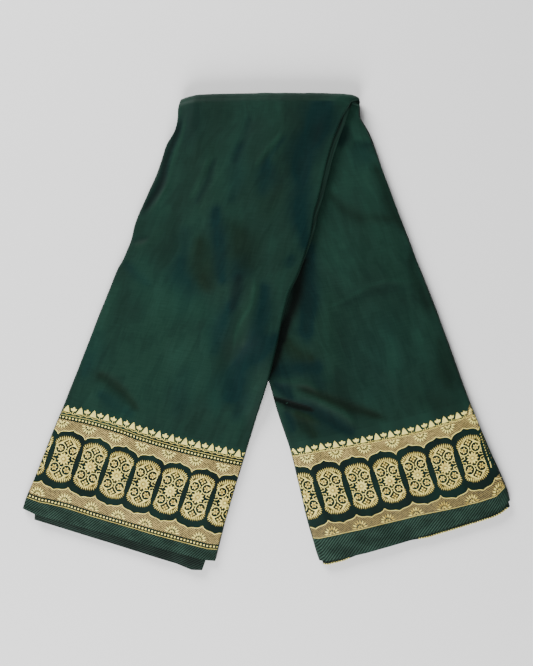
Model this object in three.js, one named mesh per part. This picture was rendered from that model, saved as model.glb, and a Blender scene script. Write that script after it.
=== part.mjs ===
// A silk saree, folded lengthwise into a strip of many layers and then folded over once, a
// little askew, so that its two ends spread like an inverted V. The upper end lies on the
// lower one near the fold and comes down to the floor beyond it.
// Millimetres, +Z up, +Y towards the fold. The origin is under the middle of the outline.
//
// The outermost layer on one side of the strip is the outer cloth: it shows on the upper end,
// goes round the fold and lies under the lower end. The outermost layer on the other side is
// the inner cloth: it shows on the lower end, turns inside the fold and lies under the upper
// end. Between the two are the hidden layers.
import * as THREE from "three";

// Driving dimensions
const STACK = 12; // the folded strip, through all its layers
const HEM_STACK = 10; // the same at the hems, where the layers lie flatter
const CLOTH = 1.2; // wall of one outermost layer
const SEAM = 0.3; // between neighbouring pieces
const LEAF_GAP = 0.8; // between the two ends where one lies on the other
const ROLL = 2.4; // radius of an outermost layer's folded side edge
const EDGE_FALL = 1.5; // how much the strip thins towards its side edges
const FOLD_Y = 279.5; // axis of the fold
const DRAPE_START = 8; // the upper end starts down this far inside the lower end's edge
const DRAPE_RUN = 53; // and reaches the floor over this length
const UPPER_BORDER = 137.5; // woven border, from its hem
const LOWER_BORDER = 143;
const LIPS = 3; // folded edges that show on each side of the hidden layers
const LIP_DEPTH = 1.3;

// Side edges of each end, from the fold to the hem.
const UPPER_LEFT = [
  { x: -105.5, y: FOLD_Y },
  { x: -106.5, y: 259 },
  { x: -129.7, y: 202.4 },
  { x: -164.5, y: 113.5 },
  { x: -172.5, y: 92 },
  { x: -206.8, y: 14.7 },
  { x: -244.7, y: -83.2 },
  { x: -297.9, y: -215.9 },
];
const UPPER_RIGHT = [
  { x: 101.5, y: FOLD_Y },
  { x: 93, y: 260 },
  { x: 78.3, y: 223 },
  { x: 69.6, y: 182.7 },
  { x: 58.6, y: 144.5 },
  { x: 48, y: 99.7 },
  { x: 28, y: 45.4 },
  { x: 12.4, y: -18.2 },
  { x: -14.7, y: -112.6 },
  { x: -39.1, y: -190.8 },
  { x: -62.8, y: -281.6 },
];
const LOWER_LEFT = [
  { x: -104.5, y: FOLD_Y },
  { x: -97, y: 258 },
  { x: -58, y: 132 },
  { x: 4.9, y: -63.6 },
  { x: 17.5, y: -103.5 },
  { x: 34.3, y: -161.5 },
  { x: 53.8, y: -239.8 },
  { x: 66.5, y: -280.5 },
];
const LOWER_RIGHT = [
  { x: 113.5, y: FOLD_Y },
  { x: 117, y: 264 },
  { x: 134.6, y: 220.2 },
  { x: 163.9, y: 141.9 },
  { x: 193.3, y: 63.6 },
  { x: 222.7, y: -14.7 },
  { x: 252, y: -93 },
  { x: 285, y: -171.3 },
  { x: 298.6, y: -208.5 },
];
// How far a hem bulges past its chord, as [share of the width, mm]
const UPPER_HEM = [[0, 0], [0.07, 3], [0.95, 2.5], [1, 0]];
const LOWER_HEM = [[0, 0], [0.03, 3.2], [0.13, 5.5], [0.45, 10], [0.83, 10], [0.94, 9.5], [1, 0]];
const HEM_ARC = 0.6; // how much of the bulge is an even arc, which runs back from the hem

// The largest folds of the cloth: soft ridges and troughs along a line, by their half width
// and their height above or below the strip's own surface.
const UPPER_FOLDS = [
  { x1: -202, y1: -50, x2: -157, y2: -97, half: 10, height: -2 },
  { x1: -35, y1: 72, x2: -50, y2: 6, half: 8, height: -1.7 },
  { x1: 64, y1: 262, x2: 50, y2: 172, half: 13, height: -1.5 },
  { x1: -168, y1: 100, x2: -128, y2: 92, half: 7, height: -1.6 },
  { x1: -54, y1: 150, x2: -62, y2: 82, half: 11, height: -1.2 },
  { x1: -20, y1: 60, x2: -42, y2: -60, half: 11, height: 1.1 },
];
const LOWER_FOLDS = [
  { x1: 12, y1: -84, x2: 80, y2: -114, half: 7, height: -2.2 },
  { x1: 22, y1: -67, x2: 98, y2: -86, half: 10, height: 1.5 },
  { x1: 24, y1: -104, x2: 70, y2: -135, half: 9, height: 1.3 },
  { x1: 46, y1: 98, x2: 24, y2: 0, half: 12, height: -2.2 },
  { x1: 96, y1: 222, x2: 126, y2: 232, half: 6, height: -1.4 },
];

// Where the hidden layers' edges stand out past the strip's own edge, from its outer side to
// its inner side, a column for each lip. at is the share of the way from fold to hem.
const SIDE_STEP = [
  { at: 0, upperRight: [1.5, 1, 0.5], others: [0.6, 0.2, 0.8] },
  { at: 0.05, upperRight: [6.5, 4.5, 2], others: [0.5, 0.4, 0.6] },
  { at: 0.16, upperRight: [6, 4, 1.5], others: [0.3, 0.9, 0.2] },
  { at: 0.34, upperRight: [0.6, 1.2, 0.4], others: [1, 0.4, 1.2] },
  { at: 0.7, upperRight: [0.4, 1, 0.5], others: [0.6, 1.4, 0.4] },
  { at: 1, upperRight: [0.8, 0.4, 1.2], others: [1.3, 0.6, 1] },
];
const HEM_STEP = [1.6, -1, 2.2]; // how far each lip stands out at a hem
// The second layer's hem past the first one's, at the left and the right of each end.
const UPPER_SECOND = { left: 6.5, right: 15.5, leftInset: 17.5, rightInset: 12 };
const LOWER_SECOND = { left: 4.5, right: 4, leftInset: 4, rightInset: 5 };

// Middle of the outline in the tables' own frame, which the origin is put under
const OUTLINE_CENTRE = { x: 0.36, y: 0.54 };

const lerp = (a, b, t) => a + (b - a) * t;
const smooth = (t) => {
  const c = Math.min(1, Math.max(0, t));
  return c * c * (3 - 2 * c);
};

// A smooth curve through a table's points, by its share of their length.
function curveThrough(table) {
  const reach = [0];
  for (let i = 1; i < table.length; i++) {
    const step = Math.hypot(table[i].x - table[i - 1].x, table[i].y - table[i - 1].y);
    reach.push(reach[i - 1] + step);
  }
  const total = reach[reach.length - 1];
  const last = table.length - 1;
  const slope = table.map((_, i) => {
    const [a, b] = [Math.max(0, i - 1), Math.min(last, i + 1)];
    const span = reach[b] - reach[a];
    return {
      x: (table[b].x - table[a].x) / span,
      y: (table[b].y - table[a].y) / span,
    };
  });
  return (share) => {
    const d = Math.min(1, Math.max(0, share)) * total;
    let i = 0;
    while (i < last - 1 && d > reach[i + 1]) i++;
    const span = reach[i + 1] - reach[i];
    const u = (d - reach[i]) / span;
    const weights = [
      (1 + 2 * u) * (1 - u) ** 2,
      u * (1 - u) ** 2 * span,
      u * u * (3 - 2 * u),
      u * u * (u - 1) * span,
    ];
    const mix = (k) =>
      weights[0] * table[i][k] +
      weights[1] * slope[i][k] +
      weights[2] * table[i + 1][k] +
      weights[3] * slope[i + 1][k];
    return { x: mix("x"), y: mix("y") };
  };
}

// The fold's crest is a little bowed, and rounds off at both corners.
const CREST_X = 29;
function crest(x) {
  const [reach, drop] = x < CREST_X ? [134, 3.2] : [84, 1.6];
  const left = Math.max(0, 1 - (x + 105.5) / 9);
  const right = Math.max(0, 1 - (113.5 - x) / 12);
  return -drop * ((x - CREST_X) / reach) ** 2 - 3 * (left ** 2 + right ** 2);
}

function valueIn(table, at) {
  const next = table.findIndex(([share]) => share >= at);
  if (next <= 0) return table[0][1];
  const [[s0, v0], [s1, v1]] = [table[next - 1], table[next]];
  return lerp(v0, v1, (at - s0) / (s1 - s0));
}

// One end of the strip seen from above: s runs from its left edge to its right one, t from
// the fold to the hem.
function endPlan(leftTable, rightTable, hem) {
  const left = curveThrough(leftTable);
  const right = curveThrough(rightTable);
  const [foldLeft, foldRight] = [left(0), right(0)];
  const [hemLeft, hemRight] = [left(1), right(1)];
  return (s, t) => {
    const [a, b] = [left(t), right(t)];
    const arc = 4 * s * (1 - s) * valueIn(hem, 0.5) * HEM_ARC;
    const bow = arc * t * t + (valueIn(hem, s) - arc) * smooth((t - 0.88) / 0.12);
    const foldX = lerp(foldLeft.x, foldRight.x, s);
    const bend = crest(foldX) * (1 - smooth(t / 0.12));
    const chord = Math.hypot(hemRight.x - hemLeft.x, hemRight.y - hemLeft.y);
    const outX = (hemRight.y - hemLeft.y) / chord;
    const outY = -(hemRight.x - hemLeft.x) / chord;
    return {
      x: lerp(a.x, b.x, s) + bow * outX,
      y: lerp(a.y, b.y, s) + bow * outY + bend,
      width: Math.hypot(b.x - a.x, b.y - a.y),
    };
  };
}
const upperPlan = endPlan(UPPER_LEFT, UPPER_RIGHT, UPPER_HEM);
const lowerPlan = endPlan(LOWER_LEFT, LOWER_RIGHT, LOWER_HEM);
const END_LENGTH = 565; // from the fold's axis to a hem, along the strip

function relief(folds, x, y) {
  let sum = 0;
  for (const f of folds) {
    const [dx, dy] = [f.x2 - f.x1, f.y2 - f.y1];
    const along = ((x - f.x1) * dx + (y - f.y1) * dy) / (dx * dx + dy * dy);
    const u = Math.min(1, Math.max(0, along));
    const off = Math.hypot(x - f.x1 - u * dx, y - f.y1 - u * dy);
    sum += f.height * Math.exp(-((off / f.half) ** 2));
  }
  return sum;
}

// Columns across the strip's flat part, shared by the pieces that lie on each other.
const ACROSS = 12;
const columnAt = (i, width) => lerp(ROLL, width - ROLL, i / ACROSS) / width;

// Thickness of the strip at s and t, where it is width wide. It thins from the first column
// in to the edge.
function thickness(s, t, width) {
  const fromEdge = Math.min(s, 1 - s) / columnAt(1, width);
  return lerp(STACK, HEM_STACK, t * t) - EDGE_FALL * Math.max(0, 1 - fromEdge);
}

// The lower end's left edge, which the upper end comes down over, as x at a given y.
const lowerLeft = curveThrough(LOWER_LEFT);
function lowerEdgeX(y) {
  let [a, b] = [0, 1];
  for (let i = 0; i < 24; i++) {
    const mid = (a + b) / 2;
    if (lowerLeft(mid).y > y) a = mid;
    else b = mid;
  }
  return lowerLeft(a).x;
}
const EDGE_LEAN = Math.atan(0.29); // that edge, from the Y axis
function upperRest(x, y, s, width, t) {
  const past = (lowerEdgeX(y) - x) * Math.cos(EDGE_LEAN);
  const down = smooth((past + DRAPE_START) / DRAPE_RUN) * smooth((FOLD_Y - y) / 45);
  const under = lerp(thickness(s, 0, width), STACK, smooth(t / 0.08));
  return (under + LEAF_GAP) * (1 - down);
}

// A point of the strip: station says where along it, s where across it, and outer and inner
// are its two faces there.
function faces(station, s) {
  if (station.zone === "upper") {
    const p = upperPlan(s, station.t);
    const low = upperRest(p.x, p.y, s, p.width, station.t);
    const fade = smooth(station.t / 0.03);
    const high = low + thickness(s, station.t, p.width) + fade * relief(UPPER_FOLDS, p.x, p.y);
    return { outer: new THREE.Vector3(p.x, p.y, high), inner: new THREE.Vector3(p.x, p.y, low) };
  }
  if (station.zone === "lower") {
    const p = lowerPlan(s, station.t);
    const fade = smooth(station.t / 0.03);
    const high = thickness(s, station.t, p.width) + fade * relief(LOWER_FOLDS, p.x, p.y);
    return { outer: new THREE.Vector3(p.x, p.y, 0), inner: new THREE.Vector3(p.x, p.y, high) };
  }
  const [above, below] = [upperPlan(s, 0), lowerPlan(s, 0)];
  const turn = Math.sin(station.phi);
  const x = station.phi < Math.PI / 2 ? lerp(above.x, below.x, smooth(turn)) : below.x;
  const y = FOLD_Y + crest(x);
  const thick = thickness(s, 0, above.width);
  const hub = thick + LEAF_GAP / 2;
  const at = (r) => new THREE.Vector3(x, y + r * turn, hub + r * Math.cos(station.phi));
  return { outer: at(hub), inner: at(LEAF_GAP / 2) };
}

function widthAt(station) {
  if (station.zone === "upper") return upperPlan(0, station.t).width;
  return lowerPlan(0, station.zone === "lower" ? station.t : 0).width;
}

// Stations along the strip, from the upper hem over the fold to the lower hem. The pieces that
// lie on each other share them, so that their facets are parallel.
const SILK_ROWS = 20;
const BORDER_ROWS = 6;
const HEM_ROWS = 2; // of the border's rows, the ones that the second layer reaches in
const FOLD_STEPS = 8;
function endStations(zone, border) {
  const seamAt = 1 - border / END_LENGTH;
  const rows = [];
  for (let i = 0; i < SILK_ROWS; i++) rows.push({ zone, t: (seamAt * i) / SILK_ROWS });
  for (let i = 0; i <= BORDER_ROWS; i++) {
    rows.push({ zone, t: lerp(seamAt, 1, i / BORDER_ROWS) });
  }
  return rows;
}
const upperRows = endStations("upper", UPPER_BORDER).reverse();
const lowerRows = endStations("lower", LOWER_BORDER);
const foldRows = Array.from({ length: FOLD_STEPS - 1 }, (_, i) => ({
  zone: "fold",
  phi: (Math.PI * (i + 1)) / FOLD_STEPS,
}));
const pastSeam = (row) => ({ ...row, t: row.t + SEAM / END_LENGTH });
const everyOther = (rows) => rows.filter((_, i) => i % 2 === 0);

function signedVolume(position, index) {
  const corner = (i) => new THREE.Vector3().fromArray(position, 3 * index[i]);
  let sum = 0;
  for (let i = 0; i < index.length; i += 3) {
    sum += corner(i).dot(corner(i + 1).cross(corner(i + 2))) / 6;
  }
  return sum;
}

// A closed solid from a block of points, columns across by rows along by levels through.
function block(columns, rows, levels, place) {
  const position = [];
  const index = [];
  const known = new Map();
  const vertex = (i, j, k) => {
    const key = `${i},${j},${k}`;
    if (!known.has(key)) {
      known.set(key, position.length / 3);
      position.push(...place(i, j, k).toArray());
    }
    return known.get(key);
  };
  const sheet = (nu, nv, at, flip) => {
    for (let u = 0; u < nu; u++) {
      for (let v = 0; v < nv; v++) {
        const [a, b, c, d] = [at(u, v), at(u + 1, v), at(u + 1, v + 1), at(u, v + 1)];
        if (flip) index.push(a, c, b, a, d, c);
        else index.push(a, b, c, a, c, d);
      }
    }
  };
  sheet(columns, rows, (u, v) => vertex(u, v, levels), false);
  sheet(columns, rows, (u, v) => vertex(u, v, 0), true);
  sheet(rows, levels, (u, v) => vertex(0, u, v), true);
  sheet(rows, levels, (u, v) => vertex(columns, u, v), false);
  sheet(columns, levels, (u, v) => vertex(u, 0, v), false);
  sheet(columns, levels, (u, v) => vertex(u, rows, v), true);
  if (signedVolume(position, index) < 0) index.reverse();
  const geometry = new THREE.BufferGeometry();
  geometry.setAttribute("position", new THREE.Float32BufferAttribute(position, 3));
  geometry.setIndex(index);
  geometry.computeVertexNormals();
  return geometry;
}

// The wall of one outermost layer. Its side edges roll over, towards the hidden layers.
const ROLL_STEPS = 3;
function clothWall(stations, side) {
  const columns = ACROSS + 2 * ROLL_STEPS;
  const place = (i, j, k) => {
    const station = stations[j];
    const width = widthAt(station);
    const depth = k === 1 ? 0 : CLOTH; // level 1 is the face that shows
    const step = Math.min(i, columns - i);
    let [s, drop] = [columnAt(i - ROLL_STEPS, width), depth];
    if (step < ROLL_STEPS) {
      const angle = ((Math.PI / 2) * step) / ROLL_STEPS;
      const fromEdge = (ROLL - (ROLL - depth) * Math.cos(angle)) / width;
      s = i < ROLL_STEPS ? fromEdge : 1 - fromEdge;
      drop = ROLL - (ROLL - depth) * Math.sin(angle);
    }
    const face = faces(station, s);
    const [shown, other] =
      side === "outer" ? [face.outer, face.inner] : [face.inner, face.outer];
    const inwards = other.clone().sub(shown).normalize();
    return shown.clone().addScaledVector(inwards, drop);
  };
  return block(columns, stations.length - 1, 1, place);
}

// How far the hidden layers lie under each face: under the wall, and near a hem that shows,
// under the second layer too.
const WALL = CLOTH + SEAM;
const UPPER_LAP = 1 - ((HEM_ROWS + 0.5) * UPPER_BORDER) / BORDER_ROWS / END_LENGTH;
const LOWER_LAP = 1 - ((HEM_ROWS + 0.5) * LOWER_BORDER) / BORDER_ROWS / END_LENGTH;
function cover(station, side) {
  const lapStart = side === "outer" ? UPPER_LAP : LOWER_LAP;
  const shows = station.zone === (side === "outer" ? "upper" : "lower");
  return shows && station.t > lapStart ? 2 * WALL : WALL;
}

function sideStep(station, rightSide, lip) {
  const t = station.zone === "fold" ? 0 : station.t;
  let row = 0;
  while (row < SIDE_STEP.length - 2 && t > SIDE_STEP[row + 1].at) row++;
  const [a, b] = [SIDE_STEP[row], SIDE_STEP[row + 1]];
  const column = station.zone !== "lower" && rightSide ? "upperRight" : "others";
  const step = lerp(a[column][lip], b[column][lip], (t - a.at) / (b.at - a.at));
  if (station.zone !== "fold" || column === "others") return step;
  return step * Math.max(0, Math.cos(station.phi)) ** 2;
}

// The hidden layers, as one solid whose sides and hems show the edges of several layers.
const CORNER_INSET = 3;
const GROOVE_INSET = 1.7;
const LIP_MARGIN = 0.4; // the least between its flat faces and their first groove
function hiddenLayers(stations) {
  const levels = 2 + 2 * LIPS;
  const rows = stations.length - 1;
  // A wall's rolled edge reaches down beside the first groove, so this lies below it.
  const margin = (station, side) => Math.max(LIP_MARGIN, ROLL + SEAM - cover(station, side));
  const heightAt = (station, k, depth) => {
    if (k === 0 || k === levels) return (k / levels) * depth;
    const top = depth - margin(station, "outer");
    return lerp(margin(station, "inner"), top, (k - 1) / (levels - 2));
  };
  const isLip = (k) => k > 0 && k < levels && k % 2 === 0;
  const inset = (station, rightSide, k) => {
    if (k === 0 || k === levels) return CORNER_INSET;
    if (!isLip(k)) return GROOVE_INSET;
    const lip = LIPS - k / 2; // lip 0 is nearest the outer cloth
    return GROOVE_INSET - LIP_DEPTH - sideStep(station, rightSide, lip);
  };
  const place = (i, j, k) => {
    const station = stations[j];
    const width = widthAt(station);
    const left = inset(station, false, k) / width;
    const right = 1 - inset(station, true, k) / width;
    const s = i === 0 ? left : i === ACROSS ? right : columnAt(i, width);
    const face = faces(station, Math.min(1, Math.max(0, s)));
    const across = faces(station, 1).outer.sub(faces(station, 0).outer).setZ(0).normalize();
    const beyond = (s - Math.min(1, Math.max(0, s))) * width;
    const from = face.inner.clone();
    const to = face.outer.clone();
    const inwards = to.clone().sub(from).normalize();
    from.addScaledVector(inwards, cover(station, "inner"));
    to.addScaledVector(inwards, -cover(station, "outer"));
    const depth = from.distanceTo(to);
    const point = from.addScaledVector(inwards, heightAt(station, k, depth));
    point.addScaledVector(across, beyond);
    if (j === 0 || j === rows) {
      const back = faces(stations[j === 0 ? 1 : rows - 1], 0.5).outer;
      const away = faces(station, 0.5).outer.sub(back).setZ(0).normalize();
      const step = isLip(k) ? HEM_STEP[LIPS - k / 2] : -1.5;
      point.addScaledVector(away, step);
    }
    return point;
  };
  return block(ACROSS, rows, levels, place);
}

// The second layer's hem, which shows past the first one's.
function secondHem(stations, side, past) {
  const hemRow = side === "outer" ? 0 : stations.length - 1;
  const reach = stations.length - 1;
  const hem = [0, 1].map((s) => faces(stations[hemRow], s).outer.setZ(0));
  const chord = hem[1].sub(hem[0]).normalize();
  const away = new THREE.Vector3(chord.y, -chord.x, 0);
  const place = (i, j, k) => {
    const station = stations[j];
    const width = widthAt(station);
    const ease = 1 - Math.abs(j - hemRow) / reach;
    const left = lerp(CORNER_INSET + 1, past.leftInset, ease) / width;
    const right = 1 - lerp(CORNER_INSET + 1, past.rightInset, ease) / width;
    const s = i === 0 ? left : i === ACROSS ? right : columnAt(i, width);
    const face = faces(station, s);
    const [shown, other] =
      side === "outer" ? [face.outer, face.inner] : [face.inner, face.outer];
    const inwards = other.clone().sub(shown).normalize();
    const corner = i === 0 || i === ACROSS ? 2.5 : 0;
    const step = j === hemRow ? lerp(past.left, past.right, i / ACROSS) - corner : 0;
    const depth = k === 1 ? WALL : WALL + CLOTH;
    return shown.clone().addScaledVector(inwards, depth).addScaledVector(away, step);
  };
  return block(ACROSS, reach, 1, place);
}

// Materials
const finish = (color, roughness, metalness = 0) =>
  new THREE.MeshStandardMaterial({ color, roughness, metalness });
const silk = finish("#213a30", 0.42);
const zariBorder = finish("#a8955f", 0.5, 0.35);
const layers = finish("#1b2f27", 0.6);
const hemBand = finish("#1f382f", 0.55);

const saree = new THREE.Group();
function piece(name, geometry, material) {
  const mesh = new THREE.Mesh(geometry, material);
  mesh.name = name;
  geometry.translate(-OUTLINE_CENTRE.x, -OUTLINE_CENTRE.y, 0);
  saree.add(mesh);
}

const upperHem = upperRows.slice(0, BORDER_ROWS + 1);
const upperField = upperRows.slice(BORDER_ROWS);
const lowerField = lowerRows.slice(0, SILK_ROWS + 1);
const lowerHem = lowerRows.slice(SILK_ROWS);
const upperBorder = [...upperHem.slice(0, -1), pastSeam(upperHem[BORDER_ROWS])];
const lowerBorder = [pastSeam(lowerHem[0]), ...lowerHem.slice(1)];

const outerStretch = [...upperField, ...foldRows, ...everyOther(lowerField)];
const innerStretch = [...upperField, ...foldRows, ...lowerField];
piece("outer_silk", clothWall(outerStretch, "outer"), silk);
piece("outer_border_upper_end", clothWall(upperBorder, "outer"), zariBorder);
piece("outer_border_lower_end", clothWall(everyOther(lowerBorder), "outer"), zariBorder);
piece("inner_silk", clothWall(innerStretch, "inner"), silk);
piece("inner_border_lower_end", clothWall(lowerBorder, "inner"), zariBorder);
piece("inner_border_upper_end", clothWall(upperBorder, "inner"), zariBorder);
piece("hidden_layers", hiddenLayers([...upperRows, ...foldRows, ...lowerRows]), layers);
piece(
  "second_hem_upper_end",
  secondHem(upperRows.slice(0, HEM_ROWS + 1), "outer", UPPER_SECOND),
  hemBand,
);
piece(
  "second_hem_lower_end",
  secondHem(lowerRows.slice(-HEM_ROWS - 1), "inner", LOWER_SECOND),
  hemBand,
);

export default saree;
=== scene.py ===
"""A silk saree, folded lengthwise into a strip and then folded over once, on a pale floor.

The strip's outermost layers are thin sheets of cloth. Their zari borders are gold thread worked
into the cloth, laid out from the border's own repeat. Sizes in the tables are millimetres.
"""

import math
import random

import bpy
import numpy as np
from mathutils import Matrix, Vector


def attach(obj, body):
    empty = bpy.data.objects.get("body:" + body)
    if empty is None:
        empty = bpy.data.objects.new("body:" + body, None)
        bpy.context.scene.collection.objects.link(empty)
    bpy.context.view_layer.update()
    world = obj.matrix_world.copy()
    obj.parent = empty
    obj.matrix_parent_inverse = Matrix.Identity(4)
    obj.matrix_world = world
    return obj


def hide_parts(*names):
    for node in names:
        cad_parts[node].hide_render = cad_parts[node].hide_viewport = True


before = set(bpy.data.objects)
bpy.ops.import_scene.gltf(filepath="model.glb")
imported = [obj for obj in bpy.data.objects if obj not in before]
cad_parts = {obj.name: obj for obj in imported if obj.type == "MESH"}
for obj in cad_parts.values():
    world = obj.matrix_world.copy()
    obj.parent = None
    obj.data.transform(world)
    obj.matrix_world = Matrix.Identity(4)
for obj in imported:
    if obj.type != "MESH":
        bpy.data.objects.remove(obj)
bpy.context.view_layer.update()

MM = 0.001

# The folded strip
STACK = 12.0  # through all its layers
HEM_STACK = 10.0
CLOTH = 0.55  # one outermost layer
LEAF_GAP = 0.8  # between the two ends where one lies on the other
ROLL = 2.4  # radius of a folded side edge
EDGE_FALL = 1.5  # how much the strip thins at its side edges
FALL_BAND = 19.0  # over how wide a band it does
FOLD_Y = 278.96  # where the fold's turn starts
DRAPE_START = 8.0  # how far inside the lower end's edge the upper end starts to fall
DRAPE_RUN = 53.0
FOLD_RUN = 45.0  # from the fold's line to where it may lie on the floor
EDGE_LEAN = 0.29  # slope of the edge it falls past
END_LENGTH = 565.0
UPPER_BORDER = 137.5
LOWER_BORDER = 143.0
HEM_ARC = 0.6  # share of a hem's bulge that is spread over the whole end
HEM_START, HEM_RUN = 0.88, 0.12  # where the rest of it is, as shares of the end's length
CREASE_RUN = 0.03  # share of the length over which creases start, below the fold
CREST_X = 29  # highest point of the fold's line
NARROW = 8  # half width under which a crease dies away at its ends

# Side edges of each end, from the fold to the hem, as (x, y)
UPPER_LEFT = [
    (-107, FOLD_Y), (-108, 263.5), (-111.5, 249), (-116.5, 239), (-121.5, 229.5), (-127.5, 210),
    (-134.5, 190.5), (-144, 170.5), (-160.5, 131.5), (-165.5, 112), (-171.5, 97), (-175.5, 87.5),
    (-181.5, 77.5), (-191, 53.5), (-214.5, -5.5), (-245, -83.5), (-277, -162), (-293, -201),
    (-298.2, -216.5),
]
UPPER_RIGHT = [
    (102.5, FOLD_Y), (92.5, 261.5), (84, 240.5), (78, 222), (73, 204), (64.5, 166), (58.5, 144),
    (53.5, 115.5), (39, 71.5), (26.5, 44.5), (12, -19), (2, -59.5), (-21, -132.5), (-44.5, -211),
    (-60.5, -269.5), (-63, -280.5),
]
LOWER_LEFT = [
    (-105.5, FOLD_Y), (-98, 257.5), (-59, 126.5), (4.5, -64), (13, -93.5), (29, -142.5),
    (39, -181.5), (48.5, -221), (61.5, -268.5), (65.5, -279.5),
]
LOWER_RIGHT = [
    (114, FOLD_Y), (114.5, 266), (123, 249), (130.5, 229.5), (145, 190.5), (167, 131.5),
    (189.5, 73), (212.5, 14), (240.5, -64), (272.5, -142.5), (293.5, -191.5), (298, -206),
]
# How far a hem bulges past the line between its corners, as (share of the width, mm)
UPPER_HEM = [(0, 0), (0.07, 3), (0.95, 2.5), (1, 0)]
LOWER_HEM = [(0, 0), (0.03, 4), (0.13, 6.6), (0.24, 8.6), (0.45, 10), (0.83, 10), (0.94, 9.5),
             (1, 0)]

# Creases and soft swells, listed as (line, half width, height, teal, olive, shade). teal and
# olive are painted sheen, the shot silk's shift of colour with each slope's angle to the light.
# shade is painted shade in a hollow, and a painted highlight on a crest where it is negative.
UPPER_CREASES = [
    # streak beside the brown patch
    ([(-60, 148), (-58, 100), (-53, 64)], 10.5, -0.6, 1.3, 0, 0.08),
    ([(-28, 85), (-37, 67)], 14.7, -0.3, 0.81, 0, 0.09),  # head of the narrow trough
    ([(-30, 70), (-37, 48), (-43, 24)], 7, -1.3, 0.9, 0, 0.6),  # narrow trough
    ([(-47, 31), (-65, -21)], 12.9, -0.5, 0.95, 0, 0),  # its tail
    # band right of the pale ridge
    ([(-2, 53), (-6, 14), (-11, -16), (-32, -40)], 12.2, -0.8, 1.22, 0, 0.09),
    ([(13, -7), (-24, -36), (-43, -78)], 14.7, -0.6, 1.08, 0, 0.04),  # band down to the border
    ([(-102, 85), (-104, 32)], 18, -0.4, 1.1, 0, 0),  # patch in the middle
    ([(-174, 85), (-155, 69), (-140, 57)], 6.9, -0.6, 0.68, 0, 0.09),  # crease from the lower kink
    ([(-99, 122), (-101, 100)], 10.9, -0.3, 0.54, 0, 0),  # patch above it
    ([(-205, -4), (-223, -49)], 14.7, -0.3, 0.68, 0, 0),  # patch at the left edge
    # patch by the diagonal trough
    ([(-200, -78), (-188, -90), (-169, -100)], 11, -0.2, 1.2, 0, 0.05),
    ([(-28, -65), (-37, -102)], 14.7, -0.3, 0.68, 0, 0.09),  # patch right of the border's top
    ([(-11, 59), (-24, 28), (-31, -21)], 7.6, 1, 0, 0.35, -0.35),  # pale ridge
    ([(-82, 108), (-79, 85), (-74, 59)], 16.5, 0.3, 0, 0.9, 0.17),  # brown patch
    ([(-36, 122), (-25, 85)], 20.2, 0.3, 0, 0.6, 0.09),  # brown patch by the fold
    # diagonal trough
    ([(-207, -51), (-189, -63), (-174, -75), (-157, -96)], 7.8, -1.3, 0, 0.7, 0.55),
    ([(-166, 112), (-145, 117)], 4.6, -0.7, 0.27, 0, 0.26),  # crease from the upper kink
    # ridge above the lower kink
    ([(-166, 101), (-140, 114), (-124, 127)], 6.4, 0.5, 0, 0.2, -0.24),
    # ridge along the left edge
    ([(-99, 260), (-106, 230), (-115, 201), (-125, 174), (-138, 148)], 3.6, 0.8, 0, 0.3, -0.6),
    # valley behind it
    ([(-104, 256), (-112, 236), (-126, 190), (-140, 164), (-150, 146)], 6.4, -0.8, 0.9, 0, 0.8),
    ([(73, 282), (64, 256), (58, 236)], 19, -0.9, 1.35, 0, 0.22),  # broad band, its head
    ([(58, 244), (48, 222), (42, 196)], 19, -0.8, 1.35, 0, 0.26),  # broad band, its middle
    ([(44, 206), (41, 155), (45, 105)], 13, -0.6, 1.25, 0, 0.05),  # broad band, its end
    ([(5, 203), (-5, 171)], 12.9, -0.4, 0.81, 0, 0),  # patch left of it
    ([(13, 173), (2, 143)], 14.7, 0.2, 0, 0.3, -0.07),  # patch under it
    ([(30, 94), (30, 78)], 7.4, -0.2, 0.81, 0, 0.09),  # edge patch
    ([(-86, 274), (-98, 234)], 16.5, -0.3, 0.41, 0.1, 0.13),  # dark patch at the left of the fold
    ([(-63, 222), (-75, 155)], 22, 0.4, 0, 0.2, -0.07),  # soft fold below the crest
    ([(-32, 222), (-42, 161)], 10.9, -0.3, 0.54, 0, 0.04),  # streak below the crest
    ([(-67, 214), (-79, 189), (-94, 160)], 3.8, 0.4, 0, 0.2, -0.38),  # narrow ridge below the crest
    ([(-60, 212), (-72, 184), (-86, 156)], 4.4, -0.4, 0.6, 0, 0.28),  # its shaded side
    ([(-20, 262), (-28, 232), (-38, 200)], 6, -0.3, 0.4, 0, 0.24),  # narrow streak under the crest
    ([(16, 242), (0, 218), (-14, 198)], 3.4, 0.4, 0, 0.2, -0.36),  # narrow ridge right of it
    ([(22, 238), (6, 214), (-6, 192)], 4, -0.3, 0.6, 0, 0.22),  # its shaded side, right
    # crest line of the pale ridge
    ([(-13, 66), (-20, 29), (-32, 7), (-41, -22)], 3, 0.4, 0, 0.2, -0.5),
    # pale stretch down the left edge
    ([(-128, 20), (-150, -40), (-172, -90), (-190, -130)], 52, 0.2, 0, 0, -0.55),
    # pale patch between the long folds and the border
    ([(-72, -4), (-70, -52), (-62, -98)], 15, 0.1, 0.25, 0, -0.4),
    # pale patch inside the lower kink
    ([(-184, 52), (-194, 22), (-212, -20)], 11, 0.1, 0, 0, -0.42),
    # pale patch under the lower kink
    ([(-150, 84), (-142, 55), (-104, 34), (-74, 24)], 26, 0.2, 0.3, 0, -0.55),
    ([(12, 272), (9, 212)], 14, 0.1, 0, 0, -0.4),  # pale patch left of the broad band
    ([(-42, -48), (-62, -86)], 16, -0.1, 0.8, 0, -0.15),  # patch towards the border, right
    ([(-99, -53), (-110, -98)], 18.3, -0.2, 0.35, 0, 0.04),  # patch at the border, middle
]
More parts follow.
